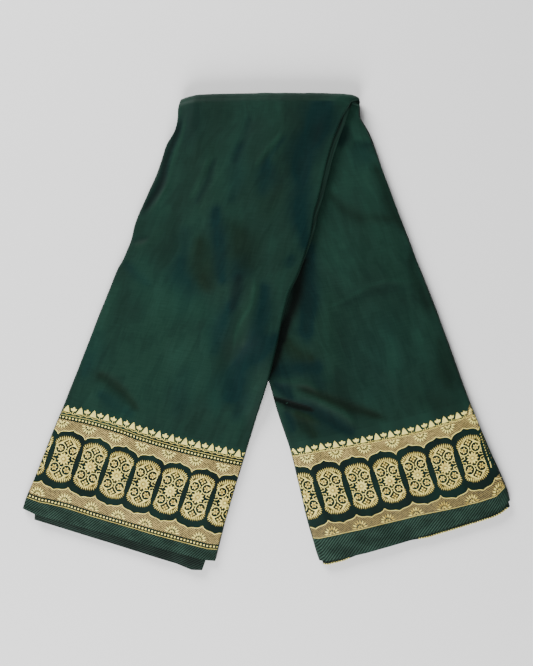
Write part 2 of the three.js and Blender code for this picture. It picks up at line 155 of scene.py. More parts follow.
LOWER_CREASES = [
    ([(95, 249), (91, 232)], 9.1, -0.6, 0.68, 0, 0.42),  # second fold line by the upper end
    # short crease at the right edge
    ([(110, 238), (120, 236), (131, 233)], 3.9, 0.7, 0, 0.1, -0.56),
    ([(105, 231), (132, 227)], 7.4, -0.6, 0.27, 0, 0.26),  # hollow under it
    ([(111, 220), (124, 212)], 16.5, -0.2, 0.48, 0, -0.03),  # grey patch
    ([(74, 171), (94, 152), (117, 139), (159, 136)], 7.6, -0.8, 0, 0.3, 0.38),  # soft trough
    # rolled strip at the right edge, upper
    ([(133, 205), (149, 161), (170, 122)], 6.9, -0.6, 0, 0.3, 0.51),
    # rolled strip at the right edge, lower
    ([(176, 100), (184, 66), (198, 26)], 7.4, -0.6, 0, 0.2, 0.42),
    ([(75, 30), (96, 42), (121, 53), (151, 62), (186, 64)], 2.6, 0.6, 0, 0.1, -0.35),  # fine ridge
    ([(90, 34), (129, 48), (176, 55)], 7.4, -0.4, 0.14, 0.1, 0.21),  # hollow under the fine ridge
    ([(50, 100), (50, 51), (51, 2)], 13.5, -1, 1.8, 0, 0.35),  # shadow patch beside the upper end
    ([(45, 85), (31, 32), (21, -6)], 8, -0.9, 0.3, 0.4, 1.2),  # its dark core
    ([(26, 14), (11, -29), (0, -62)], 5.2, -0.5, 0.1, 0.2, 1.3),  # dark foot of the wedge
    ([(22, -6), (36, -26), (52, -34)], 11, 0.2, 0, 0.9, 0.06),  # brown patch beside it
    ([(-12, -44), (30, -46), (62, -43)], 13, -0.4, 1.15, 0, 0.22),  # patch at the crossing, upper
    ([(64, -47), (66, -67)], 12.9, -0.3, 0.68, 0, 0.09),  # patch at the crossing, right
    ([(52, 6), (49, -10)], 12.9, -0.3, 0.68, 0, 0.09),  # blue patch above it
    # ridge from the crossing
    ([(12, -59), (38, -61), (54, -66), (68, -78)], 5.6, 1.1, 0, 0.35, -0.4),
    # brown hollow under the ridge
    ([(41, -69), (66, -79), (90, -86), (127, -102), (144, -108)], 6.2, -0.6, 0, 0.9, 0.55),
    ([(2, -78), (20, -84), (38, -92), (56, -98)], 3, -0.9, 0, 0, 1.9),  # sharp trough
    # blue patch under the trough
    ([(26, -89), (54, -98), (80, -110), (104, -122)], 9, -0.7, 1.4, 0, 0.45),
    ([(12, -86), (41, -102), (66, -115)], 5.4, 0.8, 0, 0.7, -0.3),  # second ridge
    ([(41, -113), (78, -125)], 10.9, -0.4, 0.27, 0, 0.17),  # hollow at the border
    ([(14, -64), (24, -70), (30, -80)], 8, -0.2, 1.3, 0, 0.3),  # blue patch over the trough
    ([(22, -94), (28, -106), (34, -124)], 7.5, -0.2, 1, 0, 0.1),  # blue patch at the edge, under it
    ([(36, -102), (46, -112), (60, -128)], 9.5, 0.2, 0, 0.9, 0.1),  # brown patch beside that
    # ridge over the blue patch
    ([(38, -75), (74, -89), (92, -97), (108, -111)], 5.4, 0.9, 0, 0.35, -0.5),
    ([(72, 42), (74, -54)], 17, 0.1, 0, 0.2, -0.42),  # pale patch right of the wedge
    ([(126, 156), (148, 104), (164, 56)], 18, 0.1, 0, 0, -0.42),  # pale patch by the right edge
    ([(84, 106), (133, 100)], 40.3, 0.5, 0, 0, -0.17),  # bright patch
    ([(213, -16), (225, -65)], 12.9, -0.3, 0, 0.3, 0.3),  # dark patch at the right edge, low
    ([(194, -84), (227, -94)], 16.5, -0.2, 0, 0.2, 0.17),  # dark patch above the border
    ([(145, 2), (133, -65)], 44.1, 0.5, 0.21, 0, -0.07),  # broad soft swell
]


# Form of the cloth

def smooth(t):
    t = np.clip(t, 0.0, 1.0)
    return t * t * (3 - 2 * t)


def lerp(a, b, t):
    return a + (b - a) * t


def profile(table, at):
    """A table's value at each share, in straight runs."""
    return np.interp(at, [row[0] for row in table], [row[1] for row in table])


def measured(table):
    """A table's points, the steps between them, and the length reached at each point."""
    points = np.array(table, float)
    steps = np.linalg.norm(np.diff(points, axis=0), axis=1)
    return points, steps, np.concatenate([[0], np.cumsum(steps)])


def curve_through(table):
    """A smooth curve through a table's points, by its share of their length."""
    points, _, reach = measured(table)
    last = len(points) - 1
    after = np.minimum(np.arange(last + 1) + 1, last)
    before = np.maximum(np.arange(last + 1) - 1, 0)
    slope = (points[after] - points[before]) / (reach[after] - reach[before])[:, None]

    def at(share):
        d = np.clip(np.asarray(share, float), 0, 1) * reach[-1]
        i = np.clip(np.searchsorted(reach, d, side="right") - 1, 0, last - 1)
        span = reach[i + 1] - reach[i]
        u = (d - reach[i]) / span
        weights = [
            (1 + 2 * u) * (1 - u) ** 2, u * (1 - u) ** 2 * span,
            u * u * (3 - 2 * u), u * u * (u - 1) * span,
        ]
        knots = [points[i], slope[i], points[i + 1], slope[i + 1]]
        return sum(w[..., None] * k for w, k in zip(weights, knots))

    return at


def crest(x):
    """The fold's line is a little bowed, and rounds off at both corners."""
    reach = np.where(x < CREST_X, 134.0, 84.0)
    drop = np.where(x < CREST_X, 3.2, 1.6)
    left = np.maximum(0, 1 - (x - UPPER_LEFT[0][0]) / 26)
    right = np.maximum(0, 1 - (LOWER_RIGHT[0][0] - x) / 12)
    return -drop * ((x - CREST_X) / reach) ** 2 - 4.2 * left ** 2 - 3 * right ** 2


def ripple(x, y, seed, count=14, height=0.1):
    """Slight unevenness all over a laid cloth."""
    rng = random.Random(seed)
    total = np.zeros_like(x)
    for _ in range(count):
        length, angle = rng.uniform(24, 95), rng.uniform(0, math.pi)
        phase = rng.uniform(0, 2 * math.pi)
        along = x * math.cos(angle) + y * math.sin(angle)
        total += height * length / 60 * np.sin(2 * math.pi * along / length + phase)
    return total


def off_line(line, x, y):
    """Distance from a line of points, and the share of its length that is nearest."""
    points, steps, reach = measured(line)
    best, share = np.full(x.shape, 1e9), np.zeros_like(x)
    for i, step in enumerate(steps):
        a, d = points[i], (points[i + 1] - points[i]) / step
        along = np.clip((x - a[0]) * d[0] + (y - a[1]) * d[1], 0, step)
        off = np.hypot(x - a[0] - along * d[0], y - a[1] - along * d[1])
        near = off < best
        best = np.where(near, off, best)
        share = np.where(near, (reach[i] + along) / reach[-1], share)
    return best, share


def creased(creases, x, y):
    """Height of the creases over the strip, with their painted sheen and painted shade."""
    height, painted_light_and_tone = np.zeros_like(x), np.zeros(x.shape + (3,))
    # no crease runs quite straight
    x, y = x + 1.6 * np.sin(y / 11 + 1.3), y + 1.6 * np.sin(x / 13 + 0.4)
    for line, half, rise, *painted_sheen_and_shade in creases:
        off, share = off_line(line, x, y)
        taper = 0.55 + 0.45 * np.sin(math.pi * np.clip(share, 0.02, 0.98))
        weight = np.exp(-((off / (half * taper)) ** 2))
        if half < NARROW:
            weight *= smooth(0.35 + 6 * np.minimum(share, 1 - share))
        height += rise * taper * weight
        # each crease's painted sheen (teal, olive) and painted shade, strongest on its line
        painted_light_and_tone += weight[..., None] * np.array(painted_sheen_and_shade)
    return height, painted_light_and_tone


class End:
    """One end of the strip: s runs from its left edge to its right one, t from fold to hem."""

    def __init__(self, left, right, hem, creases, seed):
        self.left, self.right = curve_through(left), curve_through(right)
        self.hem, self.creases, self.seed = hem, creases, seed
        out = self.right(1.0) - self.left(1.0)
        self.away = np.array([out[1], -out[0]]) / np.hypot(*out)

    def width(self, t):
        return np.linalg.norm(self.right(t) - self.left(t), axis=-1)

    def plan(self, s, t):
        a, b = self.left(t), self.right(t)
        x, y = lerp(a[..., 0], b[..., 0], s), lerp(a[..., 1], b[..., 1], s)
        arc = 4 * s * (1 - s) * profile(self.hem, 0.5) * HEM_ARC
        corner = profile(self.hem, s) - arc
        bulge = arc * t * t + corner * smooth((t - HEM_START) / HEM_RUN)
        bow = crest(lerp(self.left(0.0)[0], self.right(0.0)[0], s)) * (1 - smooth(t / 0.12))
        return x + bulge * self.away[0], y + bulge * self.away[1] + bow


upper = End(UPPER_LEFT, UPPER_RIGHT, UPPER_HEM, UPPER_CREASES, 4)
lower = End(LOWER_LEFT, LOWER_RIGHT, LOWER_HEM, LOWER_CREASES, 9)
ENDS = {"upper": upper, "lower": lower}


def thickness(s, t, width):
    from_edge = np.minimum(s, 1 - s) * width
    return lerp(STACK, HEM_STACK, t * t) - EDGE_FALL * np.maximum(0, 1 - from_edge / FALL_BAND)


EDGE_SAMPLES = lower.left(np.linspace(0, 1, 400))


def upper_rest(x, y, s, width, t):
    """Underside of the upper end: over the lower end's edge and down to the floor."""
    edge_x = np.interp(-y, -EDGE_SAMPLES[:, 1], EDGE_SAMPLES[:, 0])
    past = (edge_x - x) * math.cos(math.atan(EDGE_LEAN))
    down = smooth((past + DRAPE_START) / DRAPE_RUN) * smooth((FOLD_Y - y) / FOLD_RUN)
    under = lerp(thickness(s, 0.0, width), STACK, smooth(t / 0.08))
    return (under + LEAF_GAP) * (1 - down)


def end_faces(end, s, t):
    """Plan position, underside and top of an end, with the painted sheen and shade of its creases.
    """
    x, y = end.plan(s, t)
    width = end.width(t)
    low = upper_rest(x, y, s, width, t) if end is upper else np.zeros_like(x)
    height, painted_light_and_tone = creased(end.creases, x, y)
    relief = smooth(t / CREASE_RUN) * (height + ripple(x, y, end.seed))
    return x, y, low, low + thickness(s, t, width) + relief, painted_light_and_tone


def fold_faces(s, phi):
    """Outer and inner face in the turn of the fold, from 0 above to pi below."""
    above, below = upper.plan(s, np.zeros_like(s))[0], lower.plan(s, np.zeros_like(s))[0]
    turn = np.sin(phi)
    x = np.where(phi < math.pi / 2, lerp(above, below, smooth(turn)), below)
    hub = thickness(s, 0.0, upper.width(0.0)) + LEAF_GAP / 2
    y = FOLD_Y + crest(x)
    dent = 0.5 * turn * ripple(x * 2.2, y * 0 + 40 * phi, 21)

    def at(r):
        return np.stack([x, y + r * turn, hub + r * np.cos(phi)], -1)

    return at(hub + dent), at(LEAF_GAP / 2)


def strip_faces(zone, s, at):
    """Outer and inner face of the strip at one station, and the painted sheen and shade on it."""
    if zone == "fold":
        outer, inner = fold_faces(s, at)
        return outer, inner, np.zeros(s.shape + (3,))
    x, y, low, high, painted_light_and_tone = end_faces(ENDS[zone], s, np.full_like(s, at))
    top, bottom = np.stack([x, y, high], -1), np.stack([x, y, low], -1)
    return (top, bottom, painted_light_and_tone) if zone == "upper" else (bottom, top, painted_light_and_tone)


def station_width(zone, at):
    return float(lower.width(0.0) if zone == "fold" else ENDS[zone].width(at))


def stations(zone, start, stop, count):
    return [(zone, at) for at in np.linspace(start, stop, count + 1)]


def strip_length(zone, at):
    """Distance along the strip, from the upper hem."""
    if zone == "upper":
        return END_LENGTH * (1 - at)
    turn = STACK * at if zone == "fold" else STACK * math.pi + END_LENGTH * at
    return END_LENGTH + turn


# Meshes

def new_piece(name, points, faces, material, smooth_angle=40):
    """A mesh piece of the saree from points in millimetres."""
    mesh = bpy.data.meshes.new(name)
    mesh.from_pydata((np.asarray(points) * MM).tolist(), [], faces)
    mesh.validate()
    mesh.update()
    mesh.shade_smooth()
    mesh.set_sharp_from_angle(angle=math.radians(smooth_angle))
    mesh.materials.append(material)
    piece = bpy.data.objects.new(name, mesh)
    bpy.context.scene.collection.objects.link(piece)
    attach(piece, "root")
    return piece


def closed_block(columns, rows, levels):
    """Faces of a closed block of (columns + 1) x (rows + 1) x (levels + 1) points, and the
    numbering of its shown points."""
    number, order = {}, []

    def vertex(i, j, k):
        if (i, j, k) not in number:
            number[i, j, k] = len(order)
            order.append((i, j, k))
        return number[i, j, k]

    faces = []

    def sheet(nu, nv, at, flip):
        for u in range(nu):
            for v in range(nv):
                ring = [at(u, v), at(u + 1, v), at(u + 1, v + 1), at(u, v + 1)]
                faces.append(ring[::-1] if flip else ring)

    sheet(columns, rows, lambda u, v: vertex(u, v, levels), False)
    sheet(columns, rows, lambda u, v: vertex(u, v, 0), True)
    sheet(rows, levels, lambda u, v: vertex(0, u, v), True)
    sheet(rows, levels, lambda u, v: vertex(columns, u, v), False)
    sheet(columns, levels, lambda u, v: vertex(u, 0, v), False)
    sheet(columns, levels, lambda u, v: vertex(u, rows, v), True)
    return np.array(order), faces


def toned(tones):
    """Gold's tone, in the first channel of what paint() stores."""
    return np.outer(tones * 4 - 2, (1, 0, 0))


def faces_out(points, faces):
    """Turns a closed mesh's faces round where they point inwards."""
    quads = np.array(faces)
    a, b, c, d = (points[quads[:, i]] for i in range(4))
    volume = np.einsum("ij,ij->i", a, np.cross(b, c) + np.cross(c, d)).sum()
    return faces if volume > 0 else [face[::-1] for face in faces]


PAINT_SCALE = 100.0  # millimetres to a unit of a mesh's cloth coordinates


def paint(piece, coordinates, painted_light_and_tone):
    """Cloth coordinates in millimetres, for the weave, and the creases' painted sheen and shade,
    and on gold its tone instead.
    """
    mesh = piece.data
    corner = np.zeros(len(mesh.loops), np.int32)
    mesh.loops.foreach_get("vertex_index", corner)
    layer = mesh.uv_layers.new(name="cloth")
    layer.data.foreach_set("uv", (coordinates[corner] / PAINT_SCALE).astype(np.float32).ravel())
    # stored per point: the creases' painted sheen and shade, and on gold its tone
    colour = mesh.color_attributes.new("painted_light_and_tone", "FLOAT_COLOR", "POINT")
    rgba = np.concatenate([painted_light_and_tone / 4 + 0.5, np.ones((len(painted_light_and_tone), 1))], 1)
    colour.data.foreach_set("color", rgba.astype(np.float32).ravel())


def block_piece(name, points, coordinates, painted_light_and_tone, material, smooth_angle=40):
    """A closed piece from its points, cloth coordinates and painted sheen and shade, by level, row
    and column.
    """
    levels, rows, columns = (count - 1 for count in points.shape[:3])
    order, faces = closed_block(columns, rows, levels)
    i, j, k = order.T
    shown = points[k, j, i]
    piece = new_piece(name, shown, faces_out(shown, faces), material, smooth_angle)
    paint(piece, coordinates[k, j, i], painted_light_and_tone[k, j, i])
    return piece


ROLL_STEPS = 5


def across_profile(width, count, depth):
    """Share across the strip and depth below its face, from roll to roll."""
    share, drop = [], []
    for i in range(count + 2 * ROLL_STEPS + 1):
        step = min(i, count + 2 * ROLL_STEPS - i)
        if step < ROLL_STEPS:
            angle = math.pi / 2 * step / ROLL_STEPS
            inset = (ROLL - (ROLL - depth) * math.cos(angle)) / width
            share.append(inset if i < ROLL_STEPS else 1 - inset)
            drop.append(ROLL - (ROLL - depth) * math.sin(angle))
        else:
            share.append(lerp(ROLL, width - ROLL, (i - ROLL_STEPS) / count) / width)
            drop.append(depth)
    return np.array(share), np.array(drop)


def face_on(side, zone, share, at):
    """The strip's face on its outer or inner side, the way in from it, and its painted sheen and
    shade.
    """
    outer, inner, painted_light_and_tone = strip_faces(zone, share, at)
    shown, other = (outer, inner) if side == "outer" else (inner, outer)
    inwards = other - shown
    return shown, inwards / np.linalg.norm(inwards, axis=-1, keepdims=True), painted_light_and_tone


def cloth_sheet(name, rows, side, across, material, bordered=False):
    """A thin sheet over the strip's outer or inner side, its edges rolled over. A bordered
    one's weave follows the pull of the border."""
    grids = ([], [], [])
    for depth in (CLOTH, 0.0):
        for zone, at in rows:
            width = station_width(zone, at)
            share, drop = across_profile(width, across, depth)
            shown, inwards, painted_light_and_tone = face_on(side, zone, share, at)
            length = np.full_like(share, strip_length(zone, at))
            if bordered:
                end = ENDS[zone]
                a = (1 - share if end is upper else share) * width
                b = HEM_AT[end] + END_LENGTH * (1 - at)
                follow = pull(end, a, b) * (1 - smooth((b - PULL_STOP) / PULL_FADE))
                length += follow * (-1 if end is upper else 1)
            shows = zone == ("upper" if side == "outer" else "lower")
            grids[0].append(shown + inwards * drop[:, None])
            grids[1].append(np.stack([share * width, length], -1))
            grids[2].append(painted_light_and_tone * shows)
    return block_piece(name, *(np.array(grid).reshape(2, len(rows), len(share), -1)
                               for grid in grids), material)


# The layers between

LIPS = 11
LIP_PROFILE = [0.0, 0.75, 1.0, 0.75]  # how far a lip stands out, over its thickness
# Past the upper end's right edge the next ply shows near the fold, by its share of the length
SECOND_PLY = [(0, 1.5), (0.05, 6.3), (0.16, 6), (0.3, 2.5), (0.4, 0)]
COVER_AIR = 0.12  # between the stack and the layer round it
HEM_AIR = 0.1  # and between that layer and the second one, near a hem
SECOND_AIR = 0.08  # between the first hem and the second
SECOND_LENGTH = 46.0  # of the second hems
STACK_INSET, LIP_INSET, LIP_REACH = 1.9, 1.5, 1.1  # of the stack's side edges


def wander(at, seed, reach):
    """A slow wander along the strip, for a layer's edge."""
    rng = random.Random(seed)
    waves = [(rng.uniform(90, 420), rng.uniform(0, 6.3), rng.uniform(0.3, 1)) for _ in range(5)]
    return reach * sum(w * math.sin(at * 6.283 / length + p) for length, p, w in waves) / 2


def lip_stand(k, levels):
    """How far a level of the stack stands out, from 0 in a groove to 1 on a lip."""
    return 0.0 if k in (0, levels) else LIP_PROFILE[(k - 1) % 4]


def lip_span(zone, at, length, width, k, levels):
    """Where one level of the stack starts and stops across the strip, as shares of it."""
    lip, stand = LIPS - 1 - (k - 1) // 4, lip_stand(k, levels)
    insets = []
    for right in (False, True):
        reach = 0.5 + max(-0.4, wander(length, 31 * lip + 7 * right, 0.8))
        if right and zone == "upper":
            reach += float(profile(SECOND_PLY, at)) * max(0, 1 - lip / LIPS) ** 1.2
        inset = STACK_INSET if k in (0, levels) else LIP_INSET
        insets.append(inset - stand * (LIP_REACH + reach))
    return insets[0] / width, 1 - insets[1] / width


def hem_step(k, levels, seed):
    """How far one level of the stack stands past the hem."""
    if k in (0, levels):
        return -1.2
    return wander(37.0 * ((k - 1) // 4), seed, 2.2) * lip_stand(k, levels) - 0.4


def hidden_stack(name, rows, across, material):
    """The strip's inner layers as one rounded form, with the folded edge of each layer."""
    levels, top = 2 + 4 * LIPS, len(rows) - 1
    points = np.zeros((levels + 1, top + 1, across + 1, 3))
    coordinates = np.zeros(points.shape[:3] + (2,))
    for j, (zone, at) in enumerate(rows):
        width, length = station_width(zone, at), strip_length(zone, at)
        edge = strip_faces(zone, np.array([0.0, 1.0]), at)[0]
        sideways = edge[1] - edge[0]
        sideways[2] = 0
        sideways /= np.linalg.norm(sideways)
        share = np.array([np.linspace(*lip_span(zone, at, length, width, k, levels), across + 1)
                          for k in range(levels + 1)]).T
        held = np.clip(share, 0, 1)
        outer, inner, _ = strip_faces(zone, held, at)
        inwards = outer - inner
        depth = np.linalg.norm(inwards, axis=-1)
        inwards /= depth[..., None]
        # one layer covers it on each side, and near a hem the second one too
        near_hem = smooth((abs(at) - 0.9) / 0.02) if zone != "fold" else 0.0
        low, high = (CLOTH + COVER_AIR + (CLOTH + HEM_AIR) * near_hem * (zone == side)
                     for side in ("lower", "upper"))
        high = depth - high
        margin = ROLL + 0.1 - CLOTH
        z = lerp(low + margin, high - margin, (np.arange(levels + 1) - 1) / (levels - 2))
        z[:, 0], z[:, levels] = low, high[:, levels]
        line = inner + inwards * z[..., None] + sideways * ((share - held) * width)[..., None]
        if j in (0, top):
            back_zone, back_at = rows[1 if j == 0 else top - 1]
            away = outer - strip_faces(back_zone, held, back_at)[0]
            away[..., 2] = 0
            away /= np.linalg.norm(away, axis=-1, keepdims=True)
            step = [hem_step(k, levels, j) for k in range(levels + 1)]
            line = line + away * np.array(step)[None, :, None]
        points[:, j] = line.swapaxes(0, 1)
        coordinates[:, j, :, 0], coordinates[:, j, :, 1] = (share * width).T, length
    return block_piece(name, points, coordinates, np.zeros(points.shape), material, 70)


def second_hem(name, zone, side, step, insets, material):
    """The second layer's hem, which shows past the first one's, and its own edge."""
    across, reach = 120, 16
    end = ENDS[zone]
    grids = ([], [])
    for depth in (2 * CLOTH + SECOND_AIR, CLOTH + SECOND_AIR):
        for j, t in enumerate(np.linspace(1 - SECOND_LENGTH / END_LENGTH, 1, reach + 1)):
            width = float(end.width(t))
            ease = j / reach
            left, right = (lerp(4, inset, ease) for inset in insets)
            share = np.linspace(left, width - right, across + 1) / width
            shown, inwards, _ = face_on(side, zone, share, t)
            out = profile(step, np.linspace(0, 1, across + 1)) * smooth((ease - 0.6) / 0.4)
            sag = 0.9 * smooth((ease - 0.86) / 0.14) * np.clip(out / 8, 0, 1)
            line = shown + inwards * (depth + sag)[:, None]
            line[:, 0] += end.away[0] * out
            line[:, 1] += end.away[1] * out
            grids[0].append(line)
            grids[1].append(np.stack([share * width, END_LENGTH * t + out], -1))
    points, coordinates = (np.array(grid).reshape(2, reach + 1, across + 1, -1)
                           for grid in grids)
    piece = block_piece(name, points, coordinates, np.zeros(points.shape), material)
    return piece, points[1, -1]


# Zari: gold thread worked into the border

# The hem's place across the border, whose zero is the line through the medallions
HEM_AT = {upper: -70.5, lower: -79.0}
PULL_STOP, PULL_FADE = 56, 8  # where the field's weave stops following the border's pull
BORDER_SPAN = 250.0  # drawn length of a border, past both side edges
UNDER_RELIEF = 0.25  # how much of its height gold keeps where the cloth lies on it
EDGE_MARGIN = 0.15  # between gold and a side edge
# How far the laid cloth is pulled out of square, at three lines along the border, by (a, mm)
PULLED = {
    upper: [
        (-54, [(0, 0), (80, 0.5), (158, 2.5), (190, 4.5), (214, 4), (240, 2)]),
        (0, [(0, 0), (40, -0.5), (74, -0.9), (108, 0.4), (143, 2.7), (177, 5.4), (212, 7)]),
        (50, [(0, 0), (60, 1), (85, 2), (109, 3.5), (131, 5.5), (150, 8.5), (174, 10.5),
              (200, 11.5), (230, 10.5)]),
    ],
    lower: [
        (-52, [(0, 0), (37, 0.4), (84, -0.5), (131, -2.4), (178, -6.8), (209, -8.6)]),
        (0, [(0, 0), (38, 0), (73, -3.1), (108, -5.3), (143, -7.6), (178, -9.8), (214, -8.6)]),
        (54, [(0, 0), (37, 0), (72, -2), (107, -3), (140, -4.6), (157, -5.3), (174, -4.3),
              (210, -3.7)]),
    ],
}


def pull(end, a, b):
    """How far the border at a and b is pulled towards the fold, in millimetres."""
    (low_b, low), (mid_b, mid), (high_b, high) = PULLED[end]
    below = lerp(profile(low, a), profile(mid, a), np.clip((b - low_b) / (mid_b - low_b), 0, 1))
    return lerp(below, profile(high, a), np.clip((b - mid_b) / (high_b - mid_b), 0, 1))


def fan(count):
    """Faces from a middle point to a ring of points round it."""
    return [(0, 1 + i, 1 + (i + 1) % count) for i in range(count)]


class Goldwork:
    """Motifs of gold thread on one face of an end. a runs along the border from its straight
    side edge and b across it, towards the fold, from the line through the medallions."""

    def __init__(self, end, under=False):
        self.end, self.under = end, under
        self.shapes = []

    def place(self, a, b, lift):
        """Points on the face at a and b, raised by lift; a past a side edge is held at it."""
        t = np.clip(1 - (b + pull(self.end, a, b) - HEM_AT[self.end]) / END_LENGTH, 0, 1)
        width = self.end.width(t)
        from_edge = np.clip(a, EDGE_MARGIN, width - EDGE_MARGIN)
        s = 1 - from_edge / width if self.end is upper else from_edge / width
        x, y, low, high, _ = end_faces(self.end, s, t)
        inset = np.minimum(from_edge, width - from_edge)
        short = np.clip(ROLL - inset, 0, ROLL)
        drop = ROLL - np.sqrt(ROLL ** 2 - short ** 2)
        face = low + drop - UNDER_RELIEF * lift if self.under else high - drop + lift
        return np.stack([x, y, face], -1), a == from_edge

    def shape(self, a, b, tone, lifts, faces):
        a, b = np.asarray(a, float), np.asarray(b, float)
        tone, lifts = (np.broadcast_to(np.asarray(v, float), a.shape) for v in (tone, lifts))
        self.shapes.append((a, b, tone, lifts, faces))

    def pad(self, a, b, tone, rise=0.3, rim=0.1):
        """A padded spot, from its middle and the ring round it."""
        ring = len(a) - 1
        self.shape(a, b, tone, [rise] + [rim] * ring, fan(ring))

    def petal(self, a, b, angle, start, stop, width, tone, rise=0.32, fat=0.6, edge=0.1):
        """A padded petal, from start to stop along its axis and broadest at the share fat of
        it. Angle 0 points along +b. Its rim is darker by edge."""
        shares = [i / 4 for i in range(5)]
        swell = [math.sin(math.pi * min(1, u ** (0.5 / fat) * 0.97 + 0.03)) ** 0.75
                 for u in shares]
        left = [(lerp(start, stop, u), -w * width / 2) for u, w in zip(shares, swell)]
        right = [(along, -off) for along, off in left[-2:0:-1]]
        local = np.array([(lerp(start, stop, fat), 0)] + left + right)
        sin, cos = math.sin(angle), math.cos(angle)
        self.pad(a + local[:, 0] * sin + local[:, 1] * cos,
                 b + local[:, 0] * cos - local[:, 1] * sin,
                 [min(1, tone + 0.1)] + [max(0, tone - edge)] * (len(local) - 1), rise, 0.2)

    def dot(self, a, b, radius, tone, rise=0.3):
        turn = np.arange(8) * 2 * math.pi / 8
        self.pad(np.concatenate([[a], a + radius * np.sin(turn)]),
                 np.concatenate([[b], b + radius * np.cos(turn)]), tone, rise)

    def cord(self, a, b, width, tone, rise=0.25, closed=False):
        """A couched line through the points, width wide, raised in its middle."""
        a, b = np.asarray(a, float), np.asarray(b, float)
        if closed:
            da, db = (np.roll(v, -1) - np.roll(v, 1) for v in (a, b))
        else:
            da, db = np.gradient(a), np.gradient(b)
        size = np.maximum(np.hypot(da, db), 1e-6)
        na, nb = -db / size * width / 2, da / size * width / 2
        n = len(a)
        faces = []
        for i in range(n if closed else n - 1):
            j = (i + 1) % n
            faces += [(i, j, n + j, n + i), (n + i, n + j, 2 * n + j, 2 * n + i)]
        self.shape(np.concatenate([a - na, a, a + na]), np.concatenate([b - nb, b, b + nb]),
                   tone, [0.1] * n + [rise] * n + [0.1] * n, faces)

    def tissue(self, a, low, high, tone):
        """A close-woven ground of gold tissue between two lines."""
        n, steps = len(a), 6
        b = np.concatenate([lerp(low, high, k / steps) for k in range(steps + 1)])
        faces = [(k + i, k + i + 1, k + n + i + 1, k + n + i)
                 for k in range(0, n * steps, n) for i in range(n - 1)]
        self.shape(np.tile(a, steps + 1), b, tone, 0.06, faces)

    def piece(self, name, material):
        """All the shapes as one mesh, without what falls past a side edge."""
        a, b, tones, lifts = (np.concatenate([shape[k] for shape in self.shapes])
                              for k in range(4))
        points, inside = self.place(a, b, lifts)
        inside = inside.tolist()
        turned = (self.end is upper) != self.under
        faces, first = [], 0
        for shape in self.shapes:
            for face in shape[4]:
                ring = [first + i for i in (face[::-1] if turned else face)]
                if sum(inside[i] for i in ring) >= 2:
                    faces.append(ring)
            first += len(shape[0])
        kept = sorted({i for ring in faces for i in ring})
        number = dict(zip(kept, range(len(kept))))
        made = new_piece(name, points[kept], [[number[i] for i in ring] for ring in faces],
                         material, 60)
        paint(made, np.stack([a[kept], b[kept]], -1), toned(tones[kept]))
        return made


def ogee(share):
    """The cusped edge over a medallion, 1 at its point and 0 in the cleft beside it."""
    lobe = np.sqrt(np.clip(1 - share ** 3.2, 0, 1))
    point = np.clip(1 - share / 0.32, 0, 1) ** 1.5
    return 0.74 * lobe + 0.26 * point


# Half of a medallion's cap, as (across, up): its edge round the roundel and the diamond, its
# edge under the rays, and the rays' tips
CAP_INSIDE = [(13.2, 12.4), (12.6, 14.5), (10.7, 16.7), (8, 17.5), (6.6, 18.9), (5.9, 19.9),
              (2.9, 22.7), (0, 24.9)]
CAP_OUTSIDE = [(13.3, 12.8), (13, 14.9), (12, 17.1), (10.4, 18.6), (9, 19.9), (7.6, 21.2),
               (4, 23.9), (0, 25.4)]
CAP_FOOT = [(4.6, 17.5), (6.6, 19), (7.7, 17.5), (5.3, 17), (3.4, 15.6), (2.2, 13.9),
            (1.2, 12.4), (0.5, 12.8), (1.2, 14.3), (3.6, 16.7)]
RAY_TIPS = [(14.4, 13), (15.7, 17), (15.6, 20.8), (13.2, 24.4), (8.8, 27), (4.4, 28.2),
            (0, 28.6)]


def mirrored(half):
    return half + [(-u, v) for u, v in half[-2::-1]]


